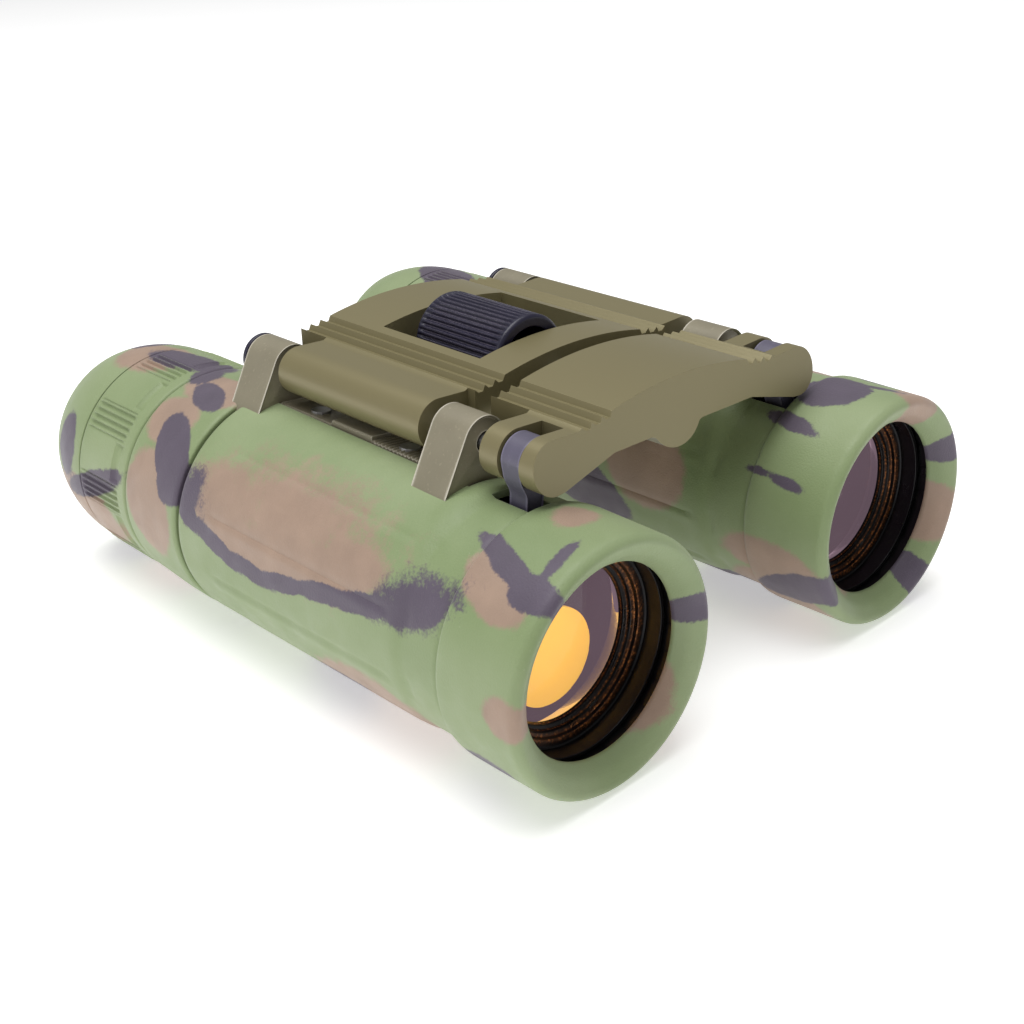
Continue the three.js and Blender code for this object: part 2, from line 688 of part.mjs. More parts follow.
function eyepieceOptics(name, group) {
  const stop = ring(stopRadius, eyeLensRadius, cellStart + clearance, cellStart + 5 * clearance);
  const eyeRing = ring(eyeLensRadius - eyeRingStep, eyeLensRadius, cellEnd - eyeInset + clearance, cellEnd);
  group.add(piece(`${name}_eyepiece_cell`, eyepieceCell(), blackPlastic));
  group.add(piece(`${name}_field_stop`, stop, blackMetal));
  group.add(piece(`${name}_field_lens`, lens(eyeLensRadius, fieldLensStart, lensEdge, -0.2, 1.3), glass));
  group.add(piece(`${name}_eye_lens`, lens(eyeLensRadius, eyeLensStart, lensEdge, 1.2, -0.2), glass));
  group.add(piece(`${name}_eye_lens_ring`, eyeRing, blackMetal));
}

function barrel(name, side) {
  const group = new THREE.Group();
  group.add(piece(`${name}_barrel_tube`, barrelTube(), blackPlastic));
  group.add(piece(`${name}_hinge_saddle`, hingeSaddle(side), olivePaint));
  for (const [place, y] of screwPlaces) {
    group.add(piece(`${name}_saddle_screw_${place}`, saddleScrew(y), steel));
  }
  const cap = rod(knuckleRadius - clearance, capStart, capStart + capLength, 0, hingeArm, innerSegments);
  group.add(piece(`${name}_pin_cap`, cap, darkRubber));
  group.add(piece(`${name}_armour`, armour(side), greenRubber));
  group.add(piece(`${name}_hood`, hood(), greenRubber));
  group.add(piece(`${name}_focus_carrier`, focusCarrier(), blackPlastic));
  group.add(piece(`${name}_focus_arm`, focusArm(), purplePlastic));
  group.add(piece(`${name}_objective_lens`, objectiveLens(), glass));
  group.add(piece(`${name}_objective_ring`, objectiveRing(), blackMetal));
  group.add(piece(`${name}_prism_mask`, prismMask(), blackPlastic));
  group.add(piece(`${name}_prism_cage`, prismCage(), blackPlastic));
  group.add(piece(`${name}_front_prism`, frontPrism(), glass));
  group.add(piece(`${name}_roof_prism`, roofPrism(), glass));
  group.add(piece(`${name}_eyepiece_housing`, eyepieceHousing(side), greenPlastic));
  group.add(piece(`${name}_grip_ring`, gripRing(), greenPlastic));
  group.add(piece(`${name}_eyecup`, eyecup(), greenRubber));
  eyepieceOptics(name, group);
  return group;
}

// ---------------------------------------------------------------- assembly
// A barrel's group hangs from its hinge and swings outward by its fold.
function hangBarrel(bridge, name, side, fold) {
  const hinge = new THREE.Group();
  hinge.position.set(side * hingeHalf, 0, 0);
  hinge.rotation.y = -side * radians(fold);
  const hung = barrel(name, side);
  hung.position.set(0, 0, -hingeArm);
  hinge.add(hung);
  bridge.add(hinge);
}

const bridge = new THREE.Group();
bridgePieces(bridge);
hangBarrel(bridge, 'right', -1, rightFold);
hangBarrel(bridge, 'left', 1, leftFold);

// tip the bridge, then set both barrels on the table and centre the whole
const middleX = (rightAxis[0] + leftAxis[0]) / 2;
const middleZ = (rightAxis[1] + leftAxis[1]) / 2;
bridge.rotation.y = bridgeTilt;
bridge.position.set(
  -(middleX * Math.cos(bridgeTilt) + middleZ * Math.sin(bridgeTilt)),
  -overallLength / 2,
  restRadius - (middleZ * Math.cos(bridgeTilt) - middleX * Math.sin(bridgeTilt)),
);

const binoculars = new THREE.Group();
binoculars.add(bridge);

export default binoculars;
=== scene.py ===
"""Compact double-hinge roof-prism binoculars in camouflaged rubber.

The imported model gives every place: the barrels' axes, the hinges, the wheel's axle and where each
piece starts and ends along Y.  New pieces are grids of points worked out in millimetres with numpy,
and are put into meshes in metres.
"""

import json
import math

import bmesh
import bpy
import numpy as np
from bpy.props import FloatProperty, FloatVectorProperty, IntProperty, PointerProperty
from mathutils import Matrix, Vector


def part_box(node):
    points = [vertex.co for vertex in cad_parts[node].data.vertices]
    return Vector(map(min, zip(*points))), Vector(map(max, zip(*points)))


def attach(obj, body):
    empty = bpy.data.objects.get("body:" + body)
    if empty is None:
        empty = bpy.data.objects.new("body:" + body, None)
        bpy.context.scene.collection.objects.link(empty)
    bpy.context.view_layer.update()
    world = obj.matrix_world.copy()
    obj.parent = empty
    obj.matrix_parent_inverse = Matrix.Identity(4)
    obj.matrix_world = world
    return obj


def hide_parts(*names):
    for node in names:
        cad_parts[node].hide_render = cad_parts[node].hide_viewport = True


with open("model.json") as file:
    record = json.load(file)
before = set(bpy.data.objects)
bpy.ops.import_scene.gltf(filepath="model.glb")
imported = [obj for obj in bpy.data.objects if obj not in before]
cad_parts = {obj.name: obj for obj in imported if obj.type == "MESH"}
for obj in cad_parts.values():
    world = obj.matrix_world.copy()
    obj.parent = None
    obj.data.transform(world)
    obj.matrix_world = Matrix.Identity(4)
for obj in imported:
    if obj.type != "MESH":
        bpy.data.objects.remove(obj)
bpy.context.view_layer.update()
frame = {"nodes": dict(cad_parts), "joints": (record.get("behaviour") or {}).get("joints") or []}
joints = {joint["name"]: joint for joint in frame["joints"]}

bl_info = {
    "name": "Compact binoculars",
    "version": (1, 0, 0),
    "blender": (4, 5, 0),
    "location": "View3D > Sidebar > Binoculars",
    "description": "Builds a pair of camouflaged double-hinge binoculars on a packed frame",
    "category": "Add Mesh",
}

MM = 0.001
SIDES = ("right", "left")


# ---------------------------------------------------------------- places
class Axis:
    """A line along Y, with an upward direction across it and a side that is outward (+1 turns left of up)."""

    def __init__(self, x, z, up, side):
        self.x, self.z, self.up, self.side = x, z, up, side

    def around(self, phi, radius, y):
        """Points at radius from the line, phi radians from up towards outward, at y along it."""
        angle = self.up + self.side * phi
        across = self.x + radius * np.cos(angle)
        return np.stack(np.broadcast_arrays(across, y, self.z + radius * np.sin(angle)), -1)

    def across(self, out, up, y):
        """Points out mm outward and up mm upward from the line, at y along it."""
        c, s = math.cos(self.up), math.sin(self.up)
        x = self.x + up * c - self.side * out * s
        return np.stack(np.broadcast_arrays(x, y, self.z + up * s + self.side * out * c), -1)

    def unroll(self, points):
        """The angle in degrees from up towards outward, and the radius, of points in mm."""
        dx, dz = points[:, 0] - self.x, points[:, 2] - self.z
        angle = self.side * (np.arctan2(dz, dx) - self.up)
        return (np.degrees(angle) + 180) % 360 - 180, np.hypot(dx, dz)


def span(node):
    """Front and rear of a CAD node along Y, in mm."""
    low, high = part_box(node)
    return low.y / MM, high.y / MM


def hinge_place(name):
    """X and Z of a hinge, in mm."""
    x, _, z = joints[name]["pos_m"]
    return x / MM, z / MM


def barrel_axis(side):
    """The barrel's own line, with its hinge straight up from it."""
    low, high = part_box(f"{side}_hood")
    x, z = (low.x + high.x) / 2 / MM, (low.z + high.z) / 2 / MM
    hx, hz = hinge_place(f"{side}_hinge")
    return Axis(x, z, math.atan2(hz - z, hx - x), 1 if side == "right" else -1)


def bridge_axis():
    """The line midway between the hinges; outward is towards the left hinge."""
    (rx, rz), (lx, lz) = hinge_place("right_hinge"), hinge_place("left_hinge")
    return Axis((rx + lx) / 2, (rz + lz) / 2, math.atan2(lz - rz, lx - rx) + math.pi / 2, -1)


AXES = {side: barrel_axis(side) for side in SIDES}
BRIDGE = bridge_axis()
WHEEL = Axis(*hinge_place("focus_turn"), BRIDGE.up, 1)
FRONT = span("right_hood")[0]
# The glowing face is painted light: a disc that glows in place of the bright light seen deep in the right
# barrel.
GLOW_FACE_OUT, GLOW_FACE_UP = -2.8, -4.4      # how far the bright face lies off the right barrel's line
GLOW_FACE_RADIUS = 6.0
MEAN_RADIUS = 15.5                  # where the patches and the stave lines are laid out
PIN_BORE = 1.3                      # bore of the ears and the arms over the hinge pins
EAR_FRONT, EAR_REAR = 6.1, 6.4      # lengths of a saddle's ears along Y
FLAT_HALF = 12.2                    # half width of the plates' flat underside
SHELF_INSET = 4.74                  # from a hinge inward to where a plate makes room for the ears
ARM_RADIUS, ARM_THICK = 2.85, 2.85  # outer radius of a focusing arm's ring, and its length along Y
ARM_TRAVEL = 2.2                    # room behind an arm for its travel and a gap
STAVE_LINES = 44, 76, 108, 140      # degrees from the hinge, on both sides of it
TOOTH_PITCH = 0.72                  # of the fine teeth on a saddle's strip
NECK_RADIUS = 14.9                  # of the armour's narrow front, just behind the hood
LENS_RADIUS = 11.3                  # of the objective lens
SHARP_ANGLE, BEVEL_ANGLE = math.radians(38), math.radians(42)
HINGE_HALF = math.dist(hinge_place("right_hinge"), hinge_place("left_hinge")) / 2
HINGE_ARM = math.dist((AXES["right"].x, AXES["right"].z), hinge_place("right_hinge"))


# ---------------------------------------------------------------- sizes and colours
def length(name, text, default):
    """A length property whose default is in mm."""
    return FloatProperty(name=name, description=text, default=default * MM, unit="LENGTH", precision=5)


def colour(name, text, red, green, blue):
    """A colour property from display values of 0 to 255, kept as linear light."""
    parts = [(v / 255) ** 2.2 for v in (red, green, blue)]
    return FloatVectorProperty(name=name, description=text, default=parts, subtype="COLOR", min=0, max=1)


class BarrelSizes(bpy.types.PropertyGroup):
    """Sizes of the two barrels."""

    hood_radius: length("Hood radius", "Outer radius of the rubber hood", 15.6)
    mouth_radius: length("Mouth radius", "Radius of the opening in front of the lens", 11.6)
    lip_depth: length("Lip depth", "How far the funnel of the hood goes in", 3.1)
    sleeve_bore: length("Sleeve bore", "Bore of the rubber pieces, over the barrel tube", 14.3)
    armour_front: length("Armour front radius", "Outer radius of the armour at its front", 15.1)
    armour_rear: length("Armour rear radius", "Outer radius of the armour at its rear", 15.75)
    stave_depth: length("Stave line depth", "Depth of the lines between the staves", 0.2)
    housing_radius: length("Housing radius", "Outer radius of the eyepiece housing", 15.8)
    grip_radius: length("Grip ring radius", "Outer radius of the ribbed ring", 15.3)
    grip_groups: IntProperty(name="Rib groups", description="Groups of ribs round the ring", default=9)
    rib_height: length("Rib height", "Height of the grip ring's ribs", 0.32)
    cup_rear: length("Eyecup rear radius", "Radius where the eyecup turns in", 13.2)
    cup_mouth: length("Eyecup mouth radius", "Opening of the eyecup", 10.6)


class BridgeSizes(bpy.types.PropertyGroup):
    """Sizes of the bridge, hinges and wheel."""

    knuckle_radius: length("Knuckle radius", "Outer radius of the hinge knuckles", 3.13)
    crown_half: length("Crown half width", "Half width of the arched middle", 11.9)
    crown_edge: length("Crown edge height", "Height of the arch's edge over the hinges", 3.87)
    crown_rise: length("Crown rise", "Further height at the middle", 1.25)
    rib_pitch: length("Rib pitch", "Distance between the plate's ribs", 1.62)
    rib_drop: length("Rib drop", "Each rib lies this much lower than the last", 0.22)
    rib_depth: length("Rib depth", "Depth of the floors between the ribs", 0.6)
    underside: length("Underside", "How far the flat underside is below the hinges", 0.9)
    boss_radius: length("Boss radius", "Radius of the boss over the focusing nut", 4.6)
    window_half: length("Window half width", "Half width of the wheel's window", 10.54)
    wheel_radius: length("Wheel radius", "Outer radius of the focusing wheel", 6.05)
    wheel_ribs: IntProperty(name="Wheel ribs", description="Ribs round the wheel", default=48)
    edge_round: length("Edge rounding", "Rounding of the cast edges", 0.16)


class Finishes(bpy.types.PropertyGroup):
    """Colours of the finishes."""

    green: colour("Rubber green", "Ground colour of the armour", 146, 160, 120)
    deep_green: colour("Deep green", "Darker cloud in the green", 126, 143, 99)
    tan: colour("Tan", "Camouflage tan", 166, 141, 123)
    purple: colour("Slate purple", "Camouflage purple", 93, 84, 98)
    olive: colour("Bridge olive", "Satin paint of the bridge", 140, 133, 113)
    # Pale colour of the bridge plates' and saddles' edges: partly bare metal at worn edges, partly a painted
    # highlight along the cast edges.
    bare_and_highlight: colour("Worn edge", "Metal that shows at worn edges", 214, 208, 192)
    navy: colour("Wheel navy", "Moulded plastic of the wheel and caps", 38, 36, 56)
    black: colour("Inner black", "Anodised black inside the barrels", 16, 15, 18)
    # Colour of the glowing disc inside the right barrel: painted light in place of the bright light seen deep
    # in the barrel.
    amber_glow: colour("Prism amber", "Coating seen deep in the barrel", 250, 196, 40)
    # Colour of the lens's faint glow: a painted reflection on the objective lens's coating.
    mauve_glow: colour("Lens mauve", "Coating of the objective lens", 168, 142, 156)


# ---------------------------------------------------------------- surfaces
def rounded(outline, radius, steps=5):
    """A closed outline with each corner replaced by a quadratic curve that starts radius before it."""
    corner = np.asarray(outline, float)
    before, after = np.roll(corner, 1, 0) - corner, np.roll(corner, -1, 0) - corner
    reach_before = np.linalg.norm(before, axis=1, keepdims=True)
    reach_after = np.linalg.norm(after, axis=1, keepdims=True)
    cut = np.minimum(radius, 0.45 * np.minimum(reach_before, reach_after))
    start, end = corner + before / reach_before * cut, corner + after / reach_after * cut
    t = np.linspace(0, 1, steps)[None, :, None]
    curve = (1 - t) ** 2 * start[:, None] + 2 * t * (1 - t) * corner[:, None] + t**2 * end[:, None]
    return curve.reshape(-1, 2)


def dense(outline, step):
    """A closed outline cut so that no edge is longer than step."""
    gap = np.roll(outline, -1, 0) - outline
    parts = np.maximum(1, np.ceil(np.linalg.norm(gap, axis=1) / step)).astype(int)
    edge = np.repeat(np.arange(len(outline)), parts)
    first = np.repeat(np.cumsum(parts) - parts, parts)
    t = (np.arange(parts.sum()) - first) / parts[edge]
    return outline[edge] + t[:, None] * gap[edge]


def stations(breaks, step):
    """Values from the least break to the greatest, at most step apart, with every break among them."""
    breaks = np.unique(np.round(np.asarray(breaks, float), 4))
    parts = [np.linspace(a, b, max(2, math.ceil((b - a) / step) + 1)) for a, b in zip(breaks, breaks[1:])]
    return np.unique(np.round(np.concatenate(parts), 5))


def smooth(value, low, high):
    """0 below low and 1 above high, with an even curve between."""
    t = np.clip((value - low) / (high - low), 0, 1)
    return t * t * (3 - 2 * t)


def bell(value, width):
    """1 at zero, falling away over width."""
    return np.exp(-((value / width) ** 2))


def loop_faces(rows, cols):
    """Quads over a grid that closes on itself both ways."""
    index = np.arange(rows * cols).reshape(rows, cols)
    right, down = np.roll(index, -1, 1), np.roll(index, -1, 0)
    return np.stack([index, right, np.roll(down, -1, 1), down], -1).reshape(-1, 4)


def turned(axis, outline, relief=None, around=192, step=0.8, corner=0.3):
    """A closed outline of (radius, y) turned about the axis.

    relief(phi in degrees, y) is added within 1 mm of the greatest radius, and fades out 1.6 mm inside it.
    """
    profile = dense(rounded(outline, corner), step)
    radius, y = profile[:, :1], profile[:, 1:]
    phi = np.linspace(0, 2 * math.pi, around, endpoint=False)[None]
    if relief:
        outside = smooth(radius, radius.max() - 1.6, radius.max() - 1.0)
        degrees = (np.degrees(phi) + 180) % 360 - 180
        radius = radius + outside * relief(degrees, y)
    return axis.around(phi, radius, y).reshape(-1, 3), loop_faces(len(profile), around)


def bored(axis, outline, centre, start, end, edge=0.35, step=0.4):
    """An outline of (out, up) carried along Y and bored, with a groove edge mm deep inside each rim."""
    rim = dense(rounded(outline, 0.5), step)
    arm = rim - np.asarray(centre)
    reach = np.linalg.norm(arm, axis=1)
    inner = np.asarray(centre) + PIN_BORE * arm / reach[:, None]
    quarter = np.linspace(0, math.pi / 2, 5)
    inset = edge * (1 - np.cos(quarter))
    drop = edge * (1 - np.sin(quarter))
    outer_y = np.concatenate([start + drop, end - drop[::-1]])
    outer_in = np.concatenate([inset[::-1], inset])
    along = np.concatenate([outer_y, [end, start]])
    share = 1 - np.concatenate([outer_in, [0, 0]])[:, None] / (reach - PIN_BORE)[None]
    share[-2:] = 0
    across = inner[None] + share[:, :, None] * (rim - inner)[None]
    points = axis.across(across[..., 0], across[..., 1], along[:, None])
    return points.reshape(-1, 3), loop_faces(len(along), len(rim))


def shell(top, bottom, keep=None, wrap=False):
    """Two sheets on one grid and the walls between them, with the cells where keep is false left out."""
    rows, cols = top.shape[:2]
    index = np.arange(rows * cols).reshape(rows, cols)
    wide = cols if wrap else cols - 1
    right = np.roll(index, -1, 1)
    a, b, c, d = index[:-1, :wide], right[:-1, :wide], right[1:, :wide], index[1:, :wide]
    keep = np.ones(a.shape, bool) if keep is None else keep
    under = rows * cols
    framed = np.pad(keep, ((1, 1), (0, 0)))
    sideways = np.pad(keep, ((0, 0), (1, 1)), mode="wrap" if wrap else "constant")
    faces = [np.stack([a, b, c, d], -1)[keep], np.stack([d, c, b, a], -1)[keep] + under]
    walls = (
        (b, a, framed[:-2]),
        (d, c, framed[2:]),
        (a, d, sideways[:, :-2]),
        (c, b, sideways[:, 2:]),
    )
    for first, second, neighbour in walls:
        open_edge = keep & ~neighbour
        quad = np.stack([first, second, second + under, first + under], -1)
        faces.append(quad[open_edge])
    return np.concatenate([top.reshape(-1, 3), bottom.reshape(-1, 3)]), np.concatenate(faces)


def outward(points, faces):
    """The faces, turned round if the closed surface they make has a negative volume."""
    a, b, c, d = (points[faces[:, i]] for i in range(4))
    volume = np.einsum("ij,ij->", a, np.cross(b, c)) + np.einsum("ij,ij->", a, np.cross(c, d))
    return faces if volume > 0 else faces[:, ::-1]


def make(name, parts, body, material, replaced=(), axis=None, bevel=0):
    """One object from closed surfaces in mm; axis adds the camouflage fields, and bevel rounds its edges."""
    points, faces, start = [], [], 0
    for part_points, part_faces in parts:
        used, packed = np.unique(outward(part_points, part_faces), return_inverse=True)
        points.append(part_points[used])
        faces.append(packed.reshape(-1, 4) + start)
        start += len(used)
    mesh = bpy.data.meshes.new(name)
    mesh.from_pydata((np.concatenate(points) * MM).tolist(), [], np.concatenate(faces).tolist())
    work = bmesh.new()
    work.from_mesh(mesh)
    bmesh.ops.remove_doubles(work, verts=work.verts, dist=1e-6)
    work.to_mesh(mesh)
    work.free()
    mesh.shade_smooth()
    mesh.set_sharp_from_angle(angle=SHARP_ANGLE)
    mesh.materials.append(bpy.data.materials[material])
    piece = bpy.data.objects.new(name, mesh)
    bpy.context.scene.collection.objects.link(piece)
    if axis:
        add_camouflage(mesh, axis)
    if bevel:
        rounding = piece.modifiers.new("edge rounding", "BEVEL")
        rounding.width, rounding.segments = bevel * MM, 2
        rounding.limit_method, rounding.angle_limit = "ANGLE", BEVEL_ANGLE
    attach(piece, body)
    if replaced:
        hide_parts(*replaced)
    return piece


# ---------------------------------------------------------------- camouflage
# Each patch is an ellipse on the unrolled barrel: angle in degrees from the hinge outward, depth in mm
# behind the hood's front, half lengths in mm along the turn and along the barrel, its lean in degrees,
# and the width in mm over which its edge fades.
PATCHES = {
    ("right", "tan"): [
        (79, 53, 3.4, 9, -15, 0.8), (78, 42, 3.8, 9, 6, 1.0), (71, 31, 3.8, 8, 18, 1.4),
        (60, 42, 6.5, 15, 4, 6), (64, 56, 4.5, 7, 10, 4), (47, 8, 3.4, 6, -20, 0.7),
        (86, 72, 7.5, 5.5, 20, 0.9), (42, 73, 4, 5, 0, 0.9), (18, 71, 3.5, 6.5, 0, 0.8),
        (10, 91, 4.5, 7, 10, 1.5), (113, 91, 5, 9, -10, 1.2), (150, 30, 9, 12, 15, 1.5),
        (-120, 50, 8, 13, 0, 1.5), (-60, 20, 5, 7, 0, 1.2), (170, 84, 7, 7, 0, 1.2),
        (-100, 88, 6, 7, 20, 1.2), (95, 2, 2.5, 3, 0, 0.8), (-130, 6, 8, 5, 0, 0.9), (0, 8, 3, 2.5, 0, 1.2),
        (-40, 46, 5, 9, 0, 1.4),
    ],
    ("right", "purple"): [
        (78, 62.5, 1.6, 4.8, -29, 0.3), (87.5, 55, 1.3, 6.5, -17, 0.3), (91.5, 47.5, 1.25, 5.5, -6, 0.3),
        (89, 41, 1.2, 6, 10, 0.3), (83.5, 33, 1.25, 7, 10, 0.3), (79, 26, 1.4, 6, 12, 0.3),
        (70, 17.5, 2.2, 5.5, 27, 0.6), (67, 18, 2.9, 6, 24, 2.2), (70, 62, 3, 3, 0, 2.6),
        (23, 71, 2.1, 4.6, -20, 0.35), (57, 69, 3.4, 6.4, -48, 0.35), (70, 66.5, 3.2, 3.6, 0, 0.4),
        (37, 8.5, 1.5, 6.8, -21, 0.35), (44, 3.2, 2.2, 3.4, 0, 0.4), (27, 3.3, 3.6, 0.8, 5, 0.35),
        (2, 84, 3, 8.5, 12, 0.6), (-8, 98, 4.5, 3.5, 0, 0.7), (10, 77, 2.5, 2.4, 0, 0.6),
        (94, 88, 1.9, 9.5, 22, 0.4), (80, 96, 5, 3.0, 0, 0.6), (160, 42, 4, 12, 30, 0.5),
        (-140, 26, 6, 8, -20, 0.5), (-70, 60, 5, 10, 25, 0.5), (-150, 72, 8, 4, 0, 0.5),
        (-90, 8, 6, 4, 0, 0.5), (140, 10, 3, 6, 20, 0.5), (-60, 94, 5, 5, 0, 0.6), (160, 96, 6, 4, 0, 0.6),
        (-75, 1.0, 2.2, 3.5, 0, 0.5), (-80, 74, 4, 4, 20, 0.5),
    ],
    ("left", "tan"): [
        (-88, 9, 3.6, 8, 0, 0.9), (-120, 10, 6, 8, 0, 1.2), (-60, 30, 6, 7, 0, 1.2), (60, 20, 8, 9, 0, 1.2),
        (80, 50, 7, 12, 15, 1.5), (150, 40, 8, 12, 0, 1.5), (-150, 62, 7, 8, 0, 1.2),
        (40, 72, 8, 5, 0, 1.0), (-70, 74, 5, 5, 0, 1.0), (100, 92, 8, 7, 0, 1.2), (-40, 90, 6, 7, 10, 1.2),
        (-160, 92, 6, 6, 0, 1.2), (40, 1, 4, 3, 0, 0.8), (-30, 45, 5, 10, 0, 1.5), (130, 4, 6, 5, 0, 0.8),
    ],
    ("left", "purple"): [
        (13, 9.5, 4.2, 5, -25, 0.5), (-15, 10.5, 1.2, 4.4, 10, 0.35), (-42.5, 11.5, 0.5, 2.4, 0, 0.3),
        (-44, 7.2, 0.8, 2.6, 4, 0.3), (-99, 5, 2.8, 7.5, -22, 0.4), (-96, -1, 3.2, 2.6, 0, 0.5),
        (28, 6, 0.6, 4, -20, 0.3), (60, 8, 6, 5, 0, 0.5), (30, 30, 6, 8, 30, 0.5),
        (110, 34, 5, 12, -25, 0.5), (-80, 44, 5, 11, 20, 0.5), (-140, 20, 6, 8, 0, 0.5),
        (-150, 84, 6, 6, 20, 0.5), (70, 70, 7, 4.5, -25, 0.4), (-30, 72, 5, 4, 30, 0.4),
        (20, 88, 4, 9, 25, 0.5), (-80, 92, 5, 6, 0, 0.5), (150, 66, 8, 6, 0, 0.5), (130, 94, 6, 5, 0, 0.5),
        (150, 12, 5, 6, 15, 0.5), (88, 0.5, 2.4, 3.5, 0, 0.5), (170, 1, 3, 3.5, 0, 0.5),
    ],
}


def patch_field(patches, phi, depth):
    """The greatest of the patches' fields: 1 fade width inside an edge is 1, and as far outside is -1."""
    field = np.full(phi.shape, -6.0)
    for angle, middle, half_turn, half_along, lean, fade in patches:
        u = np.radians((phi - angle + 180) % 360 - 180) * MEAN_RADIUS
        v = depth - middle
        c, s = math.cos(math.radians(lean)), math.sin(math.radians(lean))
        size = np.hypot((u * c - v * s) / half_turn, (u * s + v * c) / half_along)
        field = np.maximum(field, (1 - size) * min(half_turn, half_along) / fade)
    return np.clip(field, -6, 6)


def add_camouflage(mesh, axis):
    """Puts the tan and purple fields on the mesh's points, as attributes that its material reads."""
    points = np.empty(len(mesh.vertices) * 3, np.float32)
    mesh.vertices.foreach_get("co", points)
    points = points.reshape(-1, 3) / MM
    phi, _ = axis.unroll(points)
    side = "right" if axis.side > 0 else "left"
    for name in ("tan", "purple"):
        field = patch_field(PATCHES[side, name], phi, points[:, 1] - FRONT)
        layer = mesh.attributes.new(f"{name}_field", "FLOAT", "POINT")
        layer.data.foreach_set("value", field.astype(np.float32))


# ---------------------------------------------------------------- materials
def feed(tree, socket, value):
    """Links an output to a socket, or sets a plain value on it."""
    if isinstance(value, bpy.types.NodeSocket):
        tree.links.new(value, socket)
    else:
        socket.default_value = value


def dial(shader, values):
    """Sets plain values on a shader's own sockets."""
    for name, value in values.items():
        shader.inputs[name].default_value = value


def node(tree, kind, inputs=None, **settings):
    """Adds a node with its own settings; inputs are values, or outputs that are linked in."""
    made = tree.nodes.new("ShaderNode" + kind)
    for key, value in settings.items():
        setattr(made, key, value)
    for key, value in (inputs or {}).items():
        feed(tree, made.inputs[key], value)
    return made


def group(name, inputs, outputs):
    """A new node group with float sockets; returns the tree, its input node and its output node."""
    tree = bpy.data.node_groups.new(name, "ShaderNodeTree")
    for label, value in inputs.items():
        tree.interface.new_socket(label, in_out="INPUT", socket_type="NodeSocketFloat").default_value = value
    for label in outputs:
        tree.interface.new_socket(label, in_out="OUTPUT", socket_type="NodeSocketFloat")
    return tree, tree.nodes.new("NodeGroupInput"), tree.nodes.new("NodeGroupOutput")


def place_group(tree, name, **inputs):
    """Puts a node group into a material with its own values; returns its one output."""
    return node(tree, "Group", inputs, node_tree=bpy.data.node_groups[name]).outputs[0]


def clouds(tree, scale, low, high):
    """The shared clouds at a scale per metre, from 0 at low to 1 at high; returns the mask."""
    return place_group(tree, "clouds", Scale=scale, Low=low, High=high)


def noise(tree, scale, detail=3.0, roughness=0.55):
    """Noise on Object coordinates, which are metres."""
    where = node(tree, "TexCoord").outputs["Object"]
    values = {"Vector": where, "Scale": scale, "Detail": detail, "Roughness": roughness}
    return node(tree, "TexNoise", values).outputs["Fac"]


def math_node(tree, operation, *values, clamp=False):
    """One Math node; returns its output."""
    return node(tree, "Math", dict(enumerate(values)), operation=operation, use_clamp=clamp).outputs[0]


def build_groups():
    """The effects that several materials share: paint masks, clouds, grain, and an edge mask for worn edges
    that also carries a painted highlight along the edges.
    """
    tree, given, result = group("brushed mask", {"Field": 0, "Ragged": 1, "Fleck": 0.5}, ["Mask"])
    broad = math_node(tree, "SUBTRACT", noise(tree, 420, 5), 0.5)
    fine = math_node(tree, "SUBTRACT", noise(tree, 2600, 2), 0.5)
    ragged = math_node(tree, "MULTIPLY", broad, given.outputs["Ragged"])
    flecks = math_node(tree, "MULTIPLY", fine, given.outputs["Fleck"])
    total = math_node(tree, "ADD", math_node(tree, "ADD", given.outputs["Field"], ragged), flecks)
    values = {"Value": total, "From Min": -0.5, "From Max": 0.5}
    mask = node(tree, "MapRange", values, interpolation_type="SMOOTHSTEP")
    tree.links.new(mask.outputs["Result"], result.inputs["Mask"])

    tree, given, result = group("clouds", {"Scale": 60, "Low": 0.35, "High": 0.65}, ["Mask"])
    where = node(tree, "TexCoord").outputs["Object"]
    cloud = node(tree, "TexNoise", {"Vector": where, "Scale": given.outputs["Scale"], "Detail": 4.0})
    values = {"Value": cloud.outputs["Fac"]}
    values |= {"From Min": given.outputs["Low"], "From Max": given.outputs["High"]}
    tree.links.new(node(tree, "MapRange", values).outputs["Result"], result.inputs["Mask"])

    tree, given, result = group("grain", {"Scale": 5000, "Amount": 1, "Pits": 0.4}, ["Height"])
    where = node(tree, "TexCoord").outputs["Object"]
    cells = node(tree, "TexVoronoi", {"Vector": where, "Scale": given.outputs["Scale"]}).outputs["Distance"]
    pits = math_node(tree, "MULTIPLY", cells, given.outputs["Pits"])
    swell = node(tree, "TexNoise", {"Vector": where, "Scale": given.outputs["Scale"], "Detail": 2.0})
    rise = math_node(tree, "SUBTRACT", swell.outputs["Fac"], pits)
    height = math_node(tree, "MULTIPLY", rise, given.outputs["Amount"])
    tree.links.new(height, result.inputs["Height"])

    # Edge mask: for worn edges, and on the bridge plates and saddles for a painted highlight along them.
    tree, given, result = group("worn edges", {"Radius": 0.0003, "Sharpness": 6, "Breakup": 0.5}, ["Mask"])
    soft = node(tree, "Bevel", {"Radius": given.outputs["Radius"]}, samples=6).outputs["Normal"]
    true = node(tree, "NewGeometry").outputs["Normal"]
    facing = node(tree, "VectorMath", {0: soft, 1: true}, operation="DOT_PRODUCT").outputs["Value"]
    turned_away = math_node(tree, "SUBTRACT", 1.0, facing)
    edge = math_node(tree, "MULTIPLY", turned_away, given.outputs["Sharpness"])
    chipped = math_node(tree, "MULTIPLY", noise(tree, 900, 4), given.outputs["Breakup"])
    edge_wear_and_highlight = math_node(tree, "SUBTRACT", edge, chipped, clamp=True)
    tree.links.new(edge_wear_and_highlight, result.inputs["Mask"])


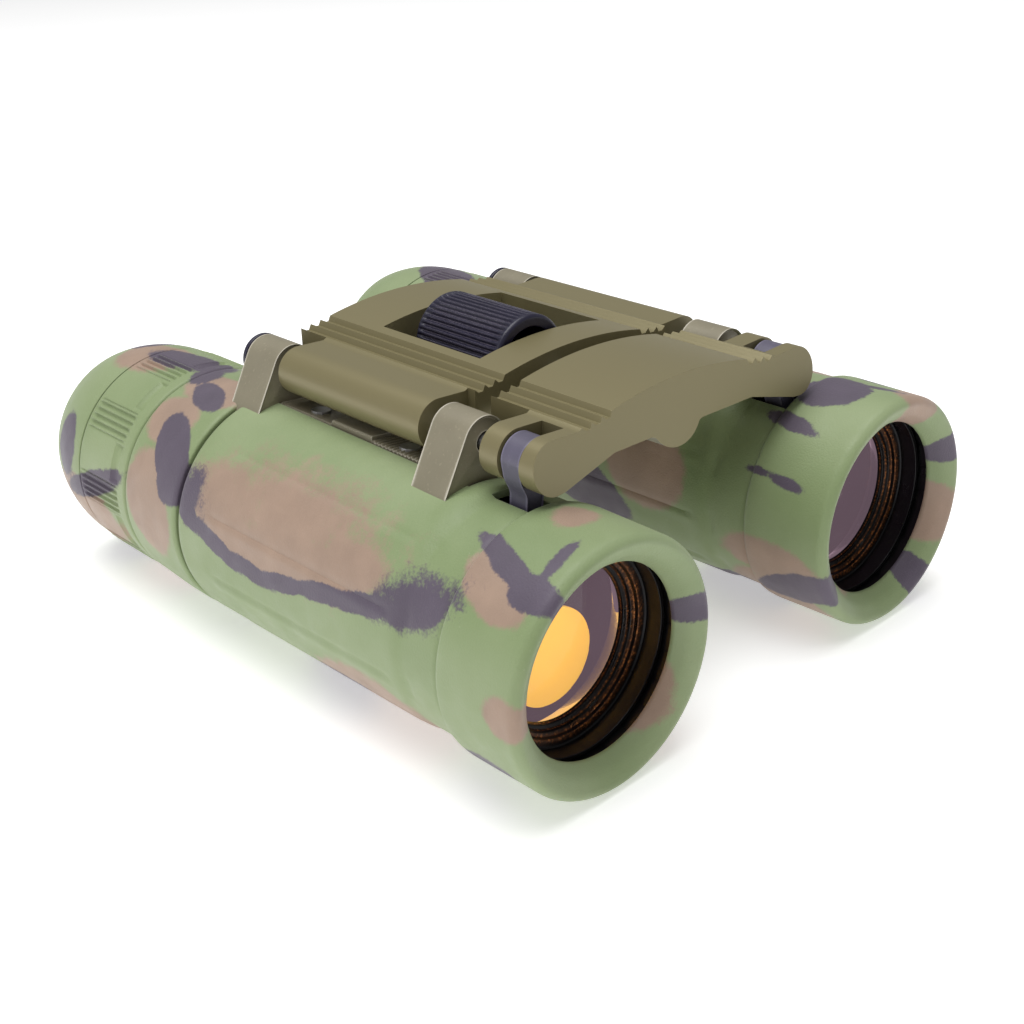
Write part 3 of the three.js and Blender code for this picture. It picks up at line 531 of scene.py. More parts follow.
def material(name):
    """An empty material with its shader and output; returns the tree and the shader."""
    made = bpy.data.materials.new(name)
    made.use_nodes = True
    return made.node_tree, made.node_tree.nodes["Principled BSDF"]


def rgba(value, times=1.0, plus=0.0):
    """A colour as four numbers, with its light multiplied and raised but no more than 1."""
    return (*(min(1.0, times * v + plus) for v in value), 1.0)


def mix(tree, mask, first, second):
    """A colour between two, by a mask; returns its output."""
    return node(tree, "Mix", {0: mask, 6: first, 7: second}, data_type="RGBA").outputs[2]


def finish_surface(tree, shader, colour_out, rough, height, distance, strength=1.0):
    """Joins a colour, a roughness from a low and a high value, and a bump to the shader."""
    tree.links.new(colour_out, shader.inputs["Base Color"])
    values = {"Value": clouds(tree, 300.0, 0.3, 0.7), "To Min": rough[0], "To Max": rough[1]}
    tree.links.new(node(tree, "MapRange", values).outputs["Result"], shader.inputs["Roughness"])
    bump = node(tree, "Bump", {"Height": height, "Distance": distance, "Strength": strength})
    tree.links.new(bump.outputs["Normal"], shader.inputs["Normal"])


def camouflage_material(paints):
    """Sprayed rubber: clouded green under tan with soft edges and purple with brushed ones."""
    tree, shader = material("camouflaged_rubber")
    dust, scuffed = (0.42, 0.45, 0.33, 1), (0.42, 0.46, 0.34, 1)
    ground = mix(tree, clouds(tree, 45.0, 0.3, 0.7), rgba(paints.green), rgba(paints.deep_green))
    ground = mix(tree, clouds(tree, 1400.0, 0.7, 1.0), ground, dust)
    layers = (("tan_field", paints.tan, 1.6, 0.8), ("purple_field", paints.purple, 2.4, 1.4))
    for name, paint, ragged, fleck in layers:
        field = node(tree, "Attribute", attribute_name=name).outputs["Fac"]
        mask = place_group(tree, "brushed mask", Field=field, Ragged=ragged, Fleck=fleck)
        shaded = mix(tree, clouds(tree, 220.0, 0.25, 0.75), rgba(paint), rgba(paint, 0.82))
        ground = mix(tree, mask, ground, shaded)
    edge_wear_and_highlight = place_group(tree, "worn edges", Radius=0.0004, Sharpness=2.5, Breakup=0.9)
    ground = mix(tree, edge_wear_and_highlight, ground, scuffed)
    grain = place_group(tree, "grain", Scale=4200.0, Amount=1.0, Pits=0.5)
    finish_surface(tree, shader, ground, (0.42, 0.6), grain, 0.00006, 0.55)
    dial(shader, {"Sheen Weight": 0.12, "Specular IOR Level": 0.42})


def plain_material(name, paint, wear_and_highlight_amount, rough, grain_scale, metallic=0.0, dark=0.72, edge=None, sharp=5.0):
    """A painted, moulded or machined finish with clouds of tone, fine grain and paler edges: wear, and on the
    bridge plates and saddles also a painted highlight.
    """
    tree, shader = material(name)
    base = mix(tree, clouds(tree, 160.0, 0.3, 0.75), rgba(paint), rgba(paint, dark))
    base = mix(tree, clouds(tree, grain_scale * 0.6, 0.6, 0.9), base, rgba(paint, 1.35, 0.01))
    edge_wear_and_highlight = place_group(tree, "worn edges", Radius=0.0004, Sharpness=sharp, Breakup=0.55)
    edge_wear_and_highlight = math_node(tree, "MULTIPLY", edge_wear_and_highlight, wear_and_highlight_amount, clamp=True)
    # Paler edges: wear, and on the bridge plates and saddles also a painted highlight along each edge.
    base = mix(tree, edge_wear_and_highlight, base, rgba(paint, 2.2, 0.03) if edge is None else rgba(edge))
    grain = place_group(tree, "grain", Scale=grain_scale, Amount=1.0, Pits=0.35)
    finish_surface(tree, shader, base, rough, grain, 0.00004, 0.4)
    dial(shader, {"Metallic": metallic})


def glass_material(name, tint, glow, strength):
    """Coated glass: clear and smooth, with a faint glow of the given colour that is a painted reflection of
    its coating.
    """
    tree, shader = material(name)
    shade = mix(tree, clouds(tree, 90.0, 0.2, 0.8), rgba(glow), rgba(glow, 0.85))
    tree.links.new(shade, shader.inputs["Emission Color"])
    dial(shader, {"Emission Strength": strength, "Base Color": tint, "Transmission Weight": 1.0,
                  "Roughness": 0.02, "IOR": 1.2})


def glow_disc_material(name, paint):
    """A glowing face that is seen inside the right barrel: painted light, an emitting disc in place of the
    bright light seen through the barrel.
    """
    tree, shader = material(name)
    shade = mix(tree, clouds(tree, 120.0, 0.25, 0.8), rgba(paint), rgba(paint, 0.86))
    tree.links.new(shade, shader.inputs["Base Color"])
    tree.links.new(shade, shader.inputs["Emission Color"])
    dial(shader, {"Emission Strength": 0.8, "Roughness": 0.3})


def painted_glint_material(name, black, spark):
    """Machined black ring with amber glints painted along its turning marks, a painted reflection of the
    light they catch.
    """
    tree, shader = material(name)
    where = node(tree, "TexCoord").outputs["Object"]
    lines = node(tree, "TexWave", {"Vector": where, "Scale": 620.0, "Distortion": 0.6, "Detail": 2.0},
                 wave_type="BANDS", bands_direction="Y")
    lifted = math_node(tree, "MULTIPLY_ADD", clouds(tree, 2600.0, 0.5, 0.75), 0.7, 0.12)
    sharp_lines = math_node(tree, "POWER", lines.outputs["Fac"], 3.0)
    bright = math_node(tree, "MULTIPLY", lifted, sharp_lines, clamp=True)
    # Painted reflection: amber glints along the turning marks, laid into the base colour.
    shade = mix(tree, bright, rgba(black), spark)
    grain = place_group(tree, "grain", Scale=3800.0, Amount=1.0, Pits=0.4)
    finish_surface(tree, shader, shade, (0.22, 0.4), grain, 0.00005, 0.5)
    dial(shader, {"Metallic": 0.55})


class BINOCULARS_OT_finishes(bpy.types.Operator):
    """Makes the shared shader groups and every material"""

    bl_idname = "binoculars.finishes"
    bl_label = "Finishes"

    def execute(self, context):
        paints = context.scene.binocular_finishes
        build_groups()
        camouflage_material(paints)
        bare_and_highlight, scuffed = paints.bare_and_highlight, (0.34, 0.3, 0.38)
        # The bridge plates' and saddles' pale edges: wear plus a painted highlight along the cast edges, made
        # strongest on the plates.
        plain_material("olive_paint", paints.olive, 1.0, (0.36, 0.5), 3600.0, 0.15, 0.86, bare_and_highlight, 16.0)
        plain_material("saddle_paint", paints.olive, 0.8, (0.4, 0.55), 3600.0, 0.1, 0.84, bare_and_highlight, 5.0)
        plain_material("navy_plastic", paints.navy, 0.75, (0.3, 0.45), 3000.0, 0.0, 0.7, scuffed, 5.0)
        plain_material("arm_plastic", (0.12, 0.11, 0.16), 0.5, (0.35, 0.5), 2600.0, 0.0, 0.7)
        plain_material("inner_black", paints.black, 0.25, (0.25, 0.45), 3000.0, 0.2)
        plain_material("steel", (0.5, 0.49, 0.48), 0.3, (0.22, 0.38), 4200.0, 1.0, 0.8)
        plain_material("brass", (0.62, 0.45, 0.2), 0.3, (0.25, 0.4), 4200.0, 1.0, 0.8)
        # The objective ring's amber glints are painted reflection.
        painted_glint_material("black_with_painted_glint", paints.black, (0.75, 0.26, 0.06, 1))
        # The glasses' glows are painted reflection: mauve on the objective lens, a faint blue on the eye lens
        # and the prisms.
        glass_material("objective_glass", (0.93, 0.86, 0.92, 1), paints.mauve_glow, 0.16)
        glass_material("eyepiece_glass", (0.9, 0.92, 0.96, 1), (0.05, 0.06, 0.1), 0.1)
        # Glowing disc inside the right barrel: painted light, not a lamp.
        glow_disc_material("amber_painted_glow", paints.amber_glow)
        return {"FINISHED"}


# ---------------------------------------------------------------- barrels
def skin(side, name, parts, node_name, body="barrel"):
    """A camouflaged piece of a barrel, in place of one of its CAD nodes."""
    make(f"{side}_{name}_skin", parts, f"{side}_{body}", "camouflaged_rubber", (f"{side}_{node_name}",),
         AXES[side])


def turning_body(side):
    """The body that the ring and the eyecup ride: only the right ones turn."""
    return "dioptre" if side == "right" else "barrel"


class BINOCULARS_OT_hoods(bpy.types.Operator):
    """Rubber hood: a short sleeve whose front turns in as a broad funnel to the lens opening"""

    bl_idname = "binoculars.hoods"
    bl_label = "Hoods"

    def execute(self, context):
        sizes = context.scene.binocular_barrels
        outer, mouth, bore = sizes.hood_radius / MM, sizes.mouth_radius / MM, sizes.sleeve_bore / MM
        for side in SIDES:
            front, rear = span(f"{side}_hood")
            inner = front + sizes.lip_depth / MM
            outline = [
                (outer - 1.0, front), (outer - 0.12, front + 0.9), (outer, rear - 1.2), (outer - 0.15, rear),
                (bore, rear), (bore, inner), (mouth, inner), (mouth + 0.05, inner - 0.5),
                (mouth + 1.2, front + 1.1),
            ]
            parts = [turned(AXES[side], outline, around=224, step=0.55, corner=0.75)]
            skin(side, "hood", parts, "hood")
        return {"FINISHED"}


class BINOCULARS_OT_armours(bpy.types.Operator):
    """Rubber sleeve of staves: shallow lines along it with hooked front ends, and a slot for the arm"""

    bl_idname = "binoculars.armours"
    bl_label = "Armours"

    def execute(self, context):
        sizes = context.scene.binocular_barrels
        for side in SIDES:
            self.armour(side, sizes)
        return {"FINISHED"}

    def relief(self, phi, depth, line_depth):
        """Sum of bells across each stave edge, hooks at their front ends, and a band near the hinge."""
        height = np.zeros(np.broadcast(phi, depth).shape)
        for line in STAVE_LINES:
            arc = np.radians(np.abs(phi) - line) * MEAN_RADIUS
            run = smooth(depth, 21.5, 22.3) * (1 - smooth(depth, 56.4, 57.6))
            broken = bell(depth - 28.5, 1.1) if line == STAVE_LINES[0] else 0
            height -= line_depth * bell(arc, 0.32) * run * (1 - broken)
            height += 0.55 * line_depth * bell(arc - 0.95, 0.7) * run
            hook = bell(depth - 18.6, 0.42) * (1 - smooth(np.abs(arc - 0.4), 1.0, 1.9))
            height -= 0.8 * line_depth * hook
        band = smooth(depth, 18.6, 19.2) * (1 - smooth(depth, 21.6, 22.6))
        fade = 1 - smooth(np.abs(phi), 18, 44)
        return height + 0.34 * band * fade

    def armour(self, side, sizes):
        """The outer sheet is the tapered radius with its relief, and the inner one is the plain bore."""
        axis = AXES[side]
        start, end = span(f"{side}_armour")
        slot = span(f"{side}_focus_arm")[1] + ARM_TRAVEL
        ear_start = span(f"{side}_hinge_saddle")[0]
        bore = sizes.sleeve_bore / MM
        slot_half, channel_half = math.radians(7.4), math.radians(8.7)
        phi = stations([-math.pi, -channel_half, -slot_half, slot_half, channel_half, math.pi], 0.029)[:-1]
        y = stations([start, start + 0.3, slot, ear_start, end - 0.9, end - 0.25, end], 0.62)
        wide, rear = sizes.armour_front / MM, sizes.armour_rear / MM
        outer = np.interp(y, [start, start + 0.3, slot, slot + 1.3, end - 1.0, end - 0.3, end],
                          [NECK_RADIUS - 0.15, NECK_RADIUS, NECK_RADIUS, wide + 0.12, rear, rear - 0.14,
                           rear - 0.42])[:, None]
        swell = self.relief(np.degrees(phi)[None], y[:, None] - FRONT, sizes.stave_depth / MM)
        top = axis.around(phi[None], outer + swell, y[:, None])
        bottom = axis.around(phi[None], np.full_like(outer, bore), y[:, None])
        middle = np.abs((phi + np.roll(phi, -1) + (phi > phi[-2]) * 2 * math.pi) / 2)[None]
        along = ((y[1:] + y[:-1]) / 2)[:, None]
        arm_slot = (middle < slot_half) & (along < slot)
        channel = (middle < channel_half) & (along > ear_start)
        keep = ~(arm_slot | channel)
        skin(side, "armour", [shell(top, bottom, keep, wrap=True)], "armour")


class BINOCULARS_OT_housings(bpy.types.Operator):
    """Eyepiece housing: a plain painted ring that narrows rearward, and the spigot inside the grip ring"""

    bl_idname = "binoculars.housings"
    bl_label = "Eyepiece housings"

    def execute(self, context):
        sizes = context.scene.binocular_barrels
        outer, bore = sizes.housing_radius / MM, sizes.sleeve_bore / MM
        for side in SIDES:
            grip_start = span(f"{side}_grip_ring")[0]
            high = span(f"{side}_eyepiece_housing")[1]
            front = span(f"{side}_armour")[1] + 0.6
            rear = grip_start - 0.3
            outline = [
                (outer - 0.25, front), (outer, front + 0.5), (outer, front + 4), (outer - 0.4, rear - 0.3),
                (outer - 0.6, rear), (bore - 1.8, rear), (bore - 1.8, high), (bore - 3, high),
                (bore - 3, front + 2), (bore, front + 2), (bore, front),
            ]
            parts = [turned(AXES[side], outline, around=216, step=0.6, corner=0.3)]
            skin(side, "housing", parts, "eyepiece_housing")
        return {"FINISHED"}


class BINOCULARS_OT_grip_rings(bpy.types.Operator):
    """Ribbed ring: nine groups of rounded ribs with plain pads between them, each behind a short recess"""

    bl_idname = "binoculars.grip_rings"
    bl_label = "Grip rings"

    def execute(self, context):
        sizes = context.scene.binocular_barrels
        outer, bore = sizes.grip_radius / MM, sizes.sleeve_bore / MM
        for side in SIDES:
            start, neck_end = span(f"{side}_grip_ring")
            end = span(f"{side}_eyecup")[0] - 0.3
            outline = [
                (outer - 0.3, start), (outer + 0.02, start + 0.35), (outer + 0.02, end - 0.2),
                (outer - 0.1, end), (bore - 0.5, end), (bore - 0.5, neck_end), (bore - 1.5, neck_end),
                (bore - 1.5, start),
            ]
            relief = self.relief(start, end, sizes.grip_groups, sizes.rib_height / MM)
            parts = [turned(AXES[side], outline, relief, around=720, step=0.42, corner=0.3)]
            skin(side, "grip", parts, "grip_ring", turning_body(side))
        return {"FINISHED"}

    def relief(self, start, end, groups, rib):
        """Ribs are raised cosines across each group; each pad between groups drops away just ahead of it."""
        period, first, rib_pitch = 360 / groups, 15.8, 3.5

        def height(phi, y):
            turn = (phi - first + period / 2) % period - period / 2
            inside = 1 - smooth(np.abs(turn), 7.6, 8.6)
            run = smooth(y, start + 1.9, start + 2.7) * (1 - smooth(y, end - 1.1, end - 0.4))
            ribs = rib * np.maximum(0, np.cos(np.radians(turn * 360 / rib_pitch))) ** 0.7
            floor = -0.28 * inside * run
            recess = -0.42 * smooth(y, start + 2.0, start + 2.3) * (1 - smooth(y, start + 3.4, start + 4.0))
            pad = 1 - smooth(np.abs(np.abs(turn) - period / 2), period / 2 - 10.6, period / 2 - 9.4)
            return floor + inside * run * ribs * 1.3 + recess * pad

        return height


class BINOCULARS_OT_eyecups(bpy.types.Operator):
    """Rubber eyecup: a dome that carries on from the grip ring and turns in to its mouth"""

    bl_idname = "binoculars.eyecups"
    bl_label = "Eyecups"

    def execute(self, context):
        sizes = context.scene.binocular_barrels
        outer, mouth, rear = sizes.grip_radius / MM, sizes.cup_mouth / MM, sizes.cup_rear / MM
        bore = sizes.sleeve_bore / MM - 0.2
        for side in SIDES:
            start, end = span(f"{side}_eyecup")
            step = span(f"{side}_eyepiece_housing")[1] + 0.4
            dome = np.linspace(0, 1, 12)
            radius = outer - 0.06 - (outer - rear) * dome**2.3
            back = start + 0.1 + (end - 1.1 - start) * dome
            outline = [(outer - 0.16, start), *zip(radius, back), (rear - 0.9, end), (mouth + 0.6, end - 0.1),
                       (mouth, end - 1.0), (mouth, step), (bore, step), (bore, start)]
            parts = [turned(AXES[side], outline, around=216, step=0.6, corner=0.5)]
            skin(side, "eyecup", parts, "eyecup", body=turning_body(side))
        return {"FINISHED"}


# ---------------------------------------------------------------- hinges
def ear_outline(knuckle, foot):
    """Round over the pin, with straight flanks that leave it as tangents and end at a foot on the tube."""
    turn = np.radians(np.linspace(168, 23, 22))
    top = np.stack([knuckle * np.cos(turn), HINGE_ARM + knuckle * np.sin(turn)], -1)
    base = np.radians(np.linspace(66, 107, 9))
    sole = np.stack([foot * np.cos(base), foot * np.sin(base)], -1)
    return np.concatenate([top, [(5.9, foot - 0.45)], sole, [(-4.4, foot + 0.1)]])


class BINOCULARS_OT_saddles(bpy.types.Operator):
    """Hinge saddle: two ears round the pin, and the strip between them with its toothed part and its pad"""

    bl_idname = "binoculars.saddles"
    bl_label = "Hinge saddles"

    def execute(self, context):
        knuckle = context.scene.binocular_bridge.knuckle_radius / MM
        foot = context.scene.binocular_barrels.sleeve_bore / MM + 0.1
        for side in SIDES:
            axis = AXES[side]
            start, end = span(f"{side}_hinge_saddle")
            outline = ear_outline(knuckle, foot)
            pin = (0, HINGE_ARM)
            parts = [
                bored(axis, outline, pin, start, start + EAR_FRONT),
                bored(axis, outline, pin, end - EAR_REAR, end),
                self.strip(axis, start + 5.6, end - 5.9, foot),
            ]
            make(f"{side}_saddle_casting", parts, f"{side}_barrel", "saddle_paint",
                 (f"{side}_hinge_saddle",))
        return {"FINISHED"}

    def strip(self, axis, start, end, foot):
        """A band over the tube whose top has fine teeth in front, then a raised pad, then lies plain."""
        out = stations([-2.0, -1.85, 1.85, 2.0], 0.3)[None]
        first, last, pad_end = start + 3.4, start + 12.7, start + 20.75
        y = stations([start, first, last, last + 0.05, pad_end - 0.05, pad_end, end], 0.18)[:, None]
        teeth = 0.14 * np.sin((y - start) * 2 * math.pi / TOOTH_PITCH) * ((y > first) & (y < last))
        pad = 0.55 * ((y > last) & (y < pad_end))
        chamfer = -0.15 * (np.abs(out) > 1.9)
        top = axis.across(out, foot + 1.05 + teeth + pad + chamfer, y)
        bottom = axis.across(out, np.full_like(teeth, foot - 0.1), y)
        return shell(top, bottom)


class BINOCULARS_OT_fixings(bpy.types.Operator):
    """Pin caps with rounded rims"""

    bl_idname = "binoculars.fixings"
    bl_label = "Pin caps"

    def execute(self, context):
        knuckle = context.scene.binocular_bridge.knuckle_radius / MM
        for side in SIDES:
            start, end = span(f"{side}_pin_cap")
            hinge = Axis(*hinge_place(f"{side}_hinge"), AXES[side].up, AXES[side].side)
            outline = [(0, start), (knuckle, start), (knuckle, end - 0.25), (knuckle - 0.9, end),
                       (0, end - 0.2)]
            parts = [turned(hinge, outline, around=72, step=0.4, corner=0.2)]
            make(f"{side}_pin_cap_moulding", parts, f"{side}_barrel", "navy_plastic",
                 (f"{side}_pin_cap",))
        return {"FINISHED"}


# ---------------------------------------------------------------- bridge
def plate_top(x, sizes):
    """Height over the hinges: the arch, the stepped ribs, the shelf and the round of the knuckle."""
    half, edge = sizes.crown_half / MM, sizes.crown_edge / MM
    pitch, drop, deep = sizes.rib_pitch / MM, sizes.rib_drop / MM, sizes.rib_depth / MM
    knuckle = sizes.knuckle_radius / MM
    places, heights = [half], [edge]
    for rib in (1, 2, 3):
        peak = edge - rib * drop
        floor = peak - deep + drop / 2
        places += [half + (rib - back) * pitch for back in (0.78, 0.36, 0.06, 0)]
        heights += [floor, floor, peak - 0.05, peak]
    places += [places[-1] + 0.5, HINGE_HALF - 0.6, HINGE_HALF]
    heights += [heights[-1] - 0.28, knuckle - 0.02, knuckle]
    far = np.abs(x)
    arch = edge + sizes.crown_rise / MM * (1 - np.minimum(far / half, 1) ** 2)
    round_end = knuckle_round(far, knuckle)
    ribbed = np.interp(far, places, heights)
    return np.where(far <= half, arch, np.where(far <= HINGE_HALF, ribbed, round_end))


def plate_bottom(x, sizes):
    """Height of the underside: flat in the middle, sloping down to the bottom of the knuckle."""
    knuckle, flat = sizes.knuckle_radius / MM, -sizes.underside / MM
    far = np.abs(x)
    slope = np.interp(far, [FLAT_HALF, HINGE_HALF - 1.2, HINGE_HALF], [flat, -knuckle + 0.12, -knuckle])
    return np.where(far <= HINGE_HALF, slope, -knuckle_round(far, knuckle))


def cell_middles(x, y):
    """How far each cell of a plate's grid is from the middle line, and its place along Y."""
    return np.abs(x[:, 1:] + x[:, :-1]) / 2, (y[1:] + y[:-1]) / 2


def knuckle_round(far, knuckle):
    """Height of the knuckle's round over the hinge's level, on its outer half."""
    return np.sqrt(np.maximum(0, knuckle**2 - (far - HINGE_HALF) ** 2))


def plate_columns(sizes, extra):
    """Places across a plate: close together over the ribs and the knuckles, and at every edge in extra."""
    half, pitch, knuckle = sizes.crown_half / MM, sizes.rib_pitch / MM, sizes.knuckle_radius / MM
    ribs = [half + share * pitch for k in range(3) for share in (k + 0.22, k + 0.64, k + 0.94, k + 1)]
    end = HINGE_HALF + knuckle * np.sin(np.linspace(0, math.pi / 2, 16))
    near = HINGE_HALF - knuckle * np.sin(np.linspace(0.1, 1.2, 6))
    one_side = np.concatenate([[half], ribs, near, end, extra])
    return stations(np.concatenate([-one_side, one_side, [0]]), 0.6)


class BINOCULARS_OT_rear_plate(bpy.types.Operator):
    """Rear plate: arch, ribs, shelves and long knuckles in one casting, with the wheel's window"""

    bl_idname = "binoculars.rear_plate"
    bl_label = "Rear plate"

    def execute(self, context):
        sizes = context.scene.binocular_bridge
        start, end = span("rear_bridge")
        ear = span("right_hinge_saddle")
        knuckle_start, knuckle_end = start + 1.2, ear[1] - EAR_REAR - 0.9
        wheel_start, wheel_end = span("focus_wheel")
        window = (wheel_start - 0.6, wheel_end + 2.55)
        half, shelf = sizes.window_half / MM, HINGE_HALF - SHELF_INSET
        web_half, web_foot = 9.5, -3.6
        x = plate_columns(sizes, [shelf, half, web_half, web_half + 0.04])[None]
        y = stations([start, knuckle_start, *window, knuckle_end, end], 0.9)[:, None]
        web = np.where(np.abs(x) <= web_half, web_foot, plate_bottom(x, sizes))
        top = BRIDGE.across(x, plate_top(x, sizes) + 0 * y, y)
        bottom = BRIDGE.across(x, web + 0 * y, y)
        mx, my = cell_middles(x, y)
        cut = (mx < half) & (my > window[0]) & (my < window[1])
        cut |= (mx > shelf) & ((my < knuckle_start) | (my > knuckle_end))
        make("rear_plate_casting", [shell(top, bottom, ~cut)], "bridge", "olive_paint",
             ("rear_bridge",), bevel=sizes.edge_round / MM)
        return {"FINISHED"}


class BINOCULARS_OT_front_plate(bpy.types.Operator):
    """Front plate: the same outline with a leaning face, two short knuckles a side and the nut's boss"""

    bl_idname = "binoculars.front_plate"
    bl_label = "Front plate"

    def execute(self, context):
        sizes = context.scene.binocular_bridge
        start, end = span("front_bridge")
        arm = span("right_focus_arm")
        ring = (arm[0] - 0.3, arm[0] + ARM_THICK + 0.3)
        knuckle_end = ring[1] + 2.95
        shelf, knuckle = HINGE_HALF - SHELF_INSET, sizes.knuckle_radius / MM
        notch = shelf + 0.9
        x = plate_columns(sizes, [shelf, notch])[None]
        y = stations([start, start + 0.3, *ring, knuckle_end, end], 0.8)[:, None]
        overhang = 1.1
        lean = overhang / (sizes.crown_edge / MM + knuckle)
        nose = 1 - smooth(y, start, start + 3)
        high, low = plate_top(x, sizes), self.underside(x, sizes)
        top = BRIDGE.across(x, high + 0 * y, y + nose * lean * (high + knuckle))
        bottom = BRIDGE.across(x, low + 0 * y, y + nose * lean * np.maximum(0, low + knuckle))
        mx, my = cell_middles(x, y)
        cut = (mx > shelf) & (my > knuckle_end)
        cut |= (mx > notch) & (my > ring[0]) & (my < ring[1])
        make("front_plate_casting", [shell(top, bottom, ~cut)], "front_bridge", "olive_paint",
             ("front_bridge",), bevel=sizes.edge_round / MM)
        return {"FINISHED"}

    def underside(self, x, sizes):
        """The plate's underside or the round boss, whichever is lower."""
        boss = sizes.boss_radius / MM
        off, rise = -1.5, 1.4
        drop = rise - np.sqrt(np.maximum(0, boss**2 - (x - off) ** 2))
        return np.minimum(plate_bottom(x, sizes), np.where(np.abs(x - off) < boss, drop, 9))


class BINOCULARS_OT_wheel(bpy.types.Operator):
    """Focusing wheel: a ribbed cup, open in front, on its screw"""

    bl_idname = "binoculars.wheel"
    bl_label = "Focusing wheel"

    def execute(self, context):
        sizes = context.scene.binocular_bridge
        outer, ribs = sizes.wheel_radius / MM, sizes.wheel_ribs
        start, end = span("focus_wheel")
        bore, hollow, floor, rim = 1.8, 4.5, end - 4, 0.35
        outline = [(outer - rim, start), (outer, start + rim), (outer, end - rim), (outer - rim, end),
                   (bore, end), (bore, floor), (hollow, floor), (hollow, start)]

        def ribbed(phi, y):
            """Grooves between the ribs, shaped as a power of a cosine and fading out at both rims."""
            run = smooth(y, start + 0.5, start + 1.0) * (1 - smooth(y, end - 1.0, end - 0.5))
            return -0.38 * run * (0.5 + 0.5 * np.cos(np.radians(phi * ribs))) ** 1.6

        parts = [turned(WHEEL, outline, ribbed, around=ribs * 8, step=0.7, corner=0.2)]
        make("wheel_moulding", parts, "focus_wheel", "navy_plastic", ("focus_wheel",))
        return {"FINISHED"}


# ---------------------------------------------------------------- focusing arms and glass
class BINOCULARS_OT_arms(bpy.types.Operator):
    """Focusing arm: a ring round the hinge pin on a leg that goes down through the armour's slot"""

    bl_idname = "binoculars.arms"
    bl_label = "Focusing arms"

    def execute(self, context):
        for side in SIDES:
            start = span(f"{side}_focus_arm")[0]
            turn = np.linspace(math.pi, 0, 20)
            top = np.stack([ARM_RADIUS * np.cos(turn), HINGE_ARM + ARM_RADIUS * np.sin(turn)], -1)
            foot, waist, shoulder = 12.7, HINGE_ARM - 3.9, HINGE_ARM - 2.2
            leg = [(2.3, shoulder), (1.25, waist), (1.2, foot), (-1.2, foot), (-1.25, waist),
                   (-2.3, shoulder)]
            outline = np.concatenate([top, leg])
            pin, end = (0, HINGE_ARM), start + ARM_THICK
            parts = [bored(AXES[side], outline, pin, start, end, edge=0.25, step=0.3)]
            make(f"{side}_arm_moulding", parts, f"{side}_objective", "arm_plastic",
                 (f"{side}_focus_arm",))
        return {"FINISHED"}


def lens(axis, start, end, radius, bulges, around):
    """A lens: each face falls back by its bulge times the square of the share of the radius."""
    share = np.linspace(0, 1, 14)
    front = [(radius * s, start + bulges[0] * s * s) for s in share]
    rear = [(radius * s, end - bulges[1] * s * s) for s in share[::-1]]
    return turned(axis, front + rear, around=around, step=2, corner=0.02)


class BINOCULARS_OT_objectives(bpy.types.Operator):
    """Objective: black carrier, stepped ring with painted amber glints on its turning marks, coated lens with
    a faint painted glow, and one glowing face that is painted light
    """

    bl_idname = "binoculars.objectives"
    bl_label = "Objectives"

    def execute(self, context):
        for side in SIDES:
            axis, body = AXES[side], f"{side}_objective"
            start, end = span(f"{side}_focus_carrier")
            inside, outside = 12.05, 12.6
            tube = [(inside, start), (outside, start), (outside, end), (inside, end)]
            make(f"{side}_carrier_turning", [turned(axis, tube, around=160, step=2, corner=0.12)], body,
                 "inner_black", (f"{side}_focus_carrier",))
            start, end = span(f"{side}_objective_ring")
            steps = [(12.0, start), (11.8, start + 0.2), (11.0, start + 0.35), (10.85, start + 0.9),
                     (10.4, start + 1.0), (10.2, start + 1.5), (9.75, start + 1.6), (9.55, end - 0.1),
                     (9.6, end), (12.0, end)]
            make(f"{side}_ring_turning", [turned(axis, steps, around=200, step=0.4, corner=0.08)], body,
                 "black_with_painted_glint", (f"{side}_objective_ring",))
            start, end = span(f"{side}_objective_lens")
            parts = [lens(axis, start, end, LENS_RADIUS, (1.1, 0.8), 128)]
            make(f"{side}_lens_glass", parts, body, "objective_glass", (f"{side}_objective_lens",))
        self.face("right", AXES["right"])
        return {"FINISHED"}

    def face(self, side, axis):
        """A thin round glowing face behind the lens, below its middle and towards the other barrel: painted
        light in place of the bright light seen deep in the barrel.
        """
        front = span(f"{side}_objective_lens")[1] + 0.4
        middle = axis.across(GLOW_FACE_OUT, GLOW_FACE_UP, 0.0)
        lowered = Axis(middle[0], middle[2], axis.up, axis.side)
        outline = [(0, front), (GLOW_FACE_RADIUS, front), (GLOW_FACE_RADIUS, front + 0.4), (0, front + 0.4)]
        parts = [turned(lowered, outline, around=96, step=1.2, corner=0.05)]
        make(f"{side}_painted_glow_disc", parts, f"{side}_objective", "amber_painted_glow")


class BINOCULARS_OT_eyepieces(bpy.types.Operator):
    """Eyepiece: the domed eye lens"""

    bl_idname = "binoculars.eyepieces"
    bl_label = "Eyepieces"

    def execute(self, context):
        for side in SIDES:
            body = "right_eyepiece" if side == "right" else "left_barrel"
            low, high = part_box(f"{side}_eye_lens")
            radius = (high.x - low.x) / 2 / MM
            start, end = low.y / MM, high.y / MM
            parts = [lens(AXES[side], start, end, radius, (0.5, 1.0), 112)]
            make(f"{side}_eye_lens_glass", parts, body, "eyepiece_glass", (f"{side}_eye_lens",))
        return {"FINISHED"}


KEPT = {
    "inner_black": (
        "barrel_tube", "prism_mask", "prism_cage", "eyepiece_cell", "field_stop", "eye_lens_ring",
    ),
    "steel": ("saddle_screw_front", "saddle_screw_rear", "guide_pin"),
    "eyepiece_glass": ("front_prism", "roof_prism", "field_lens"),
}
KEPT_SINGLE = {"steel": ("focus_screw", "focus_screw_clip"), "brass": ("focus_nut",)}


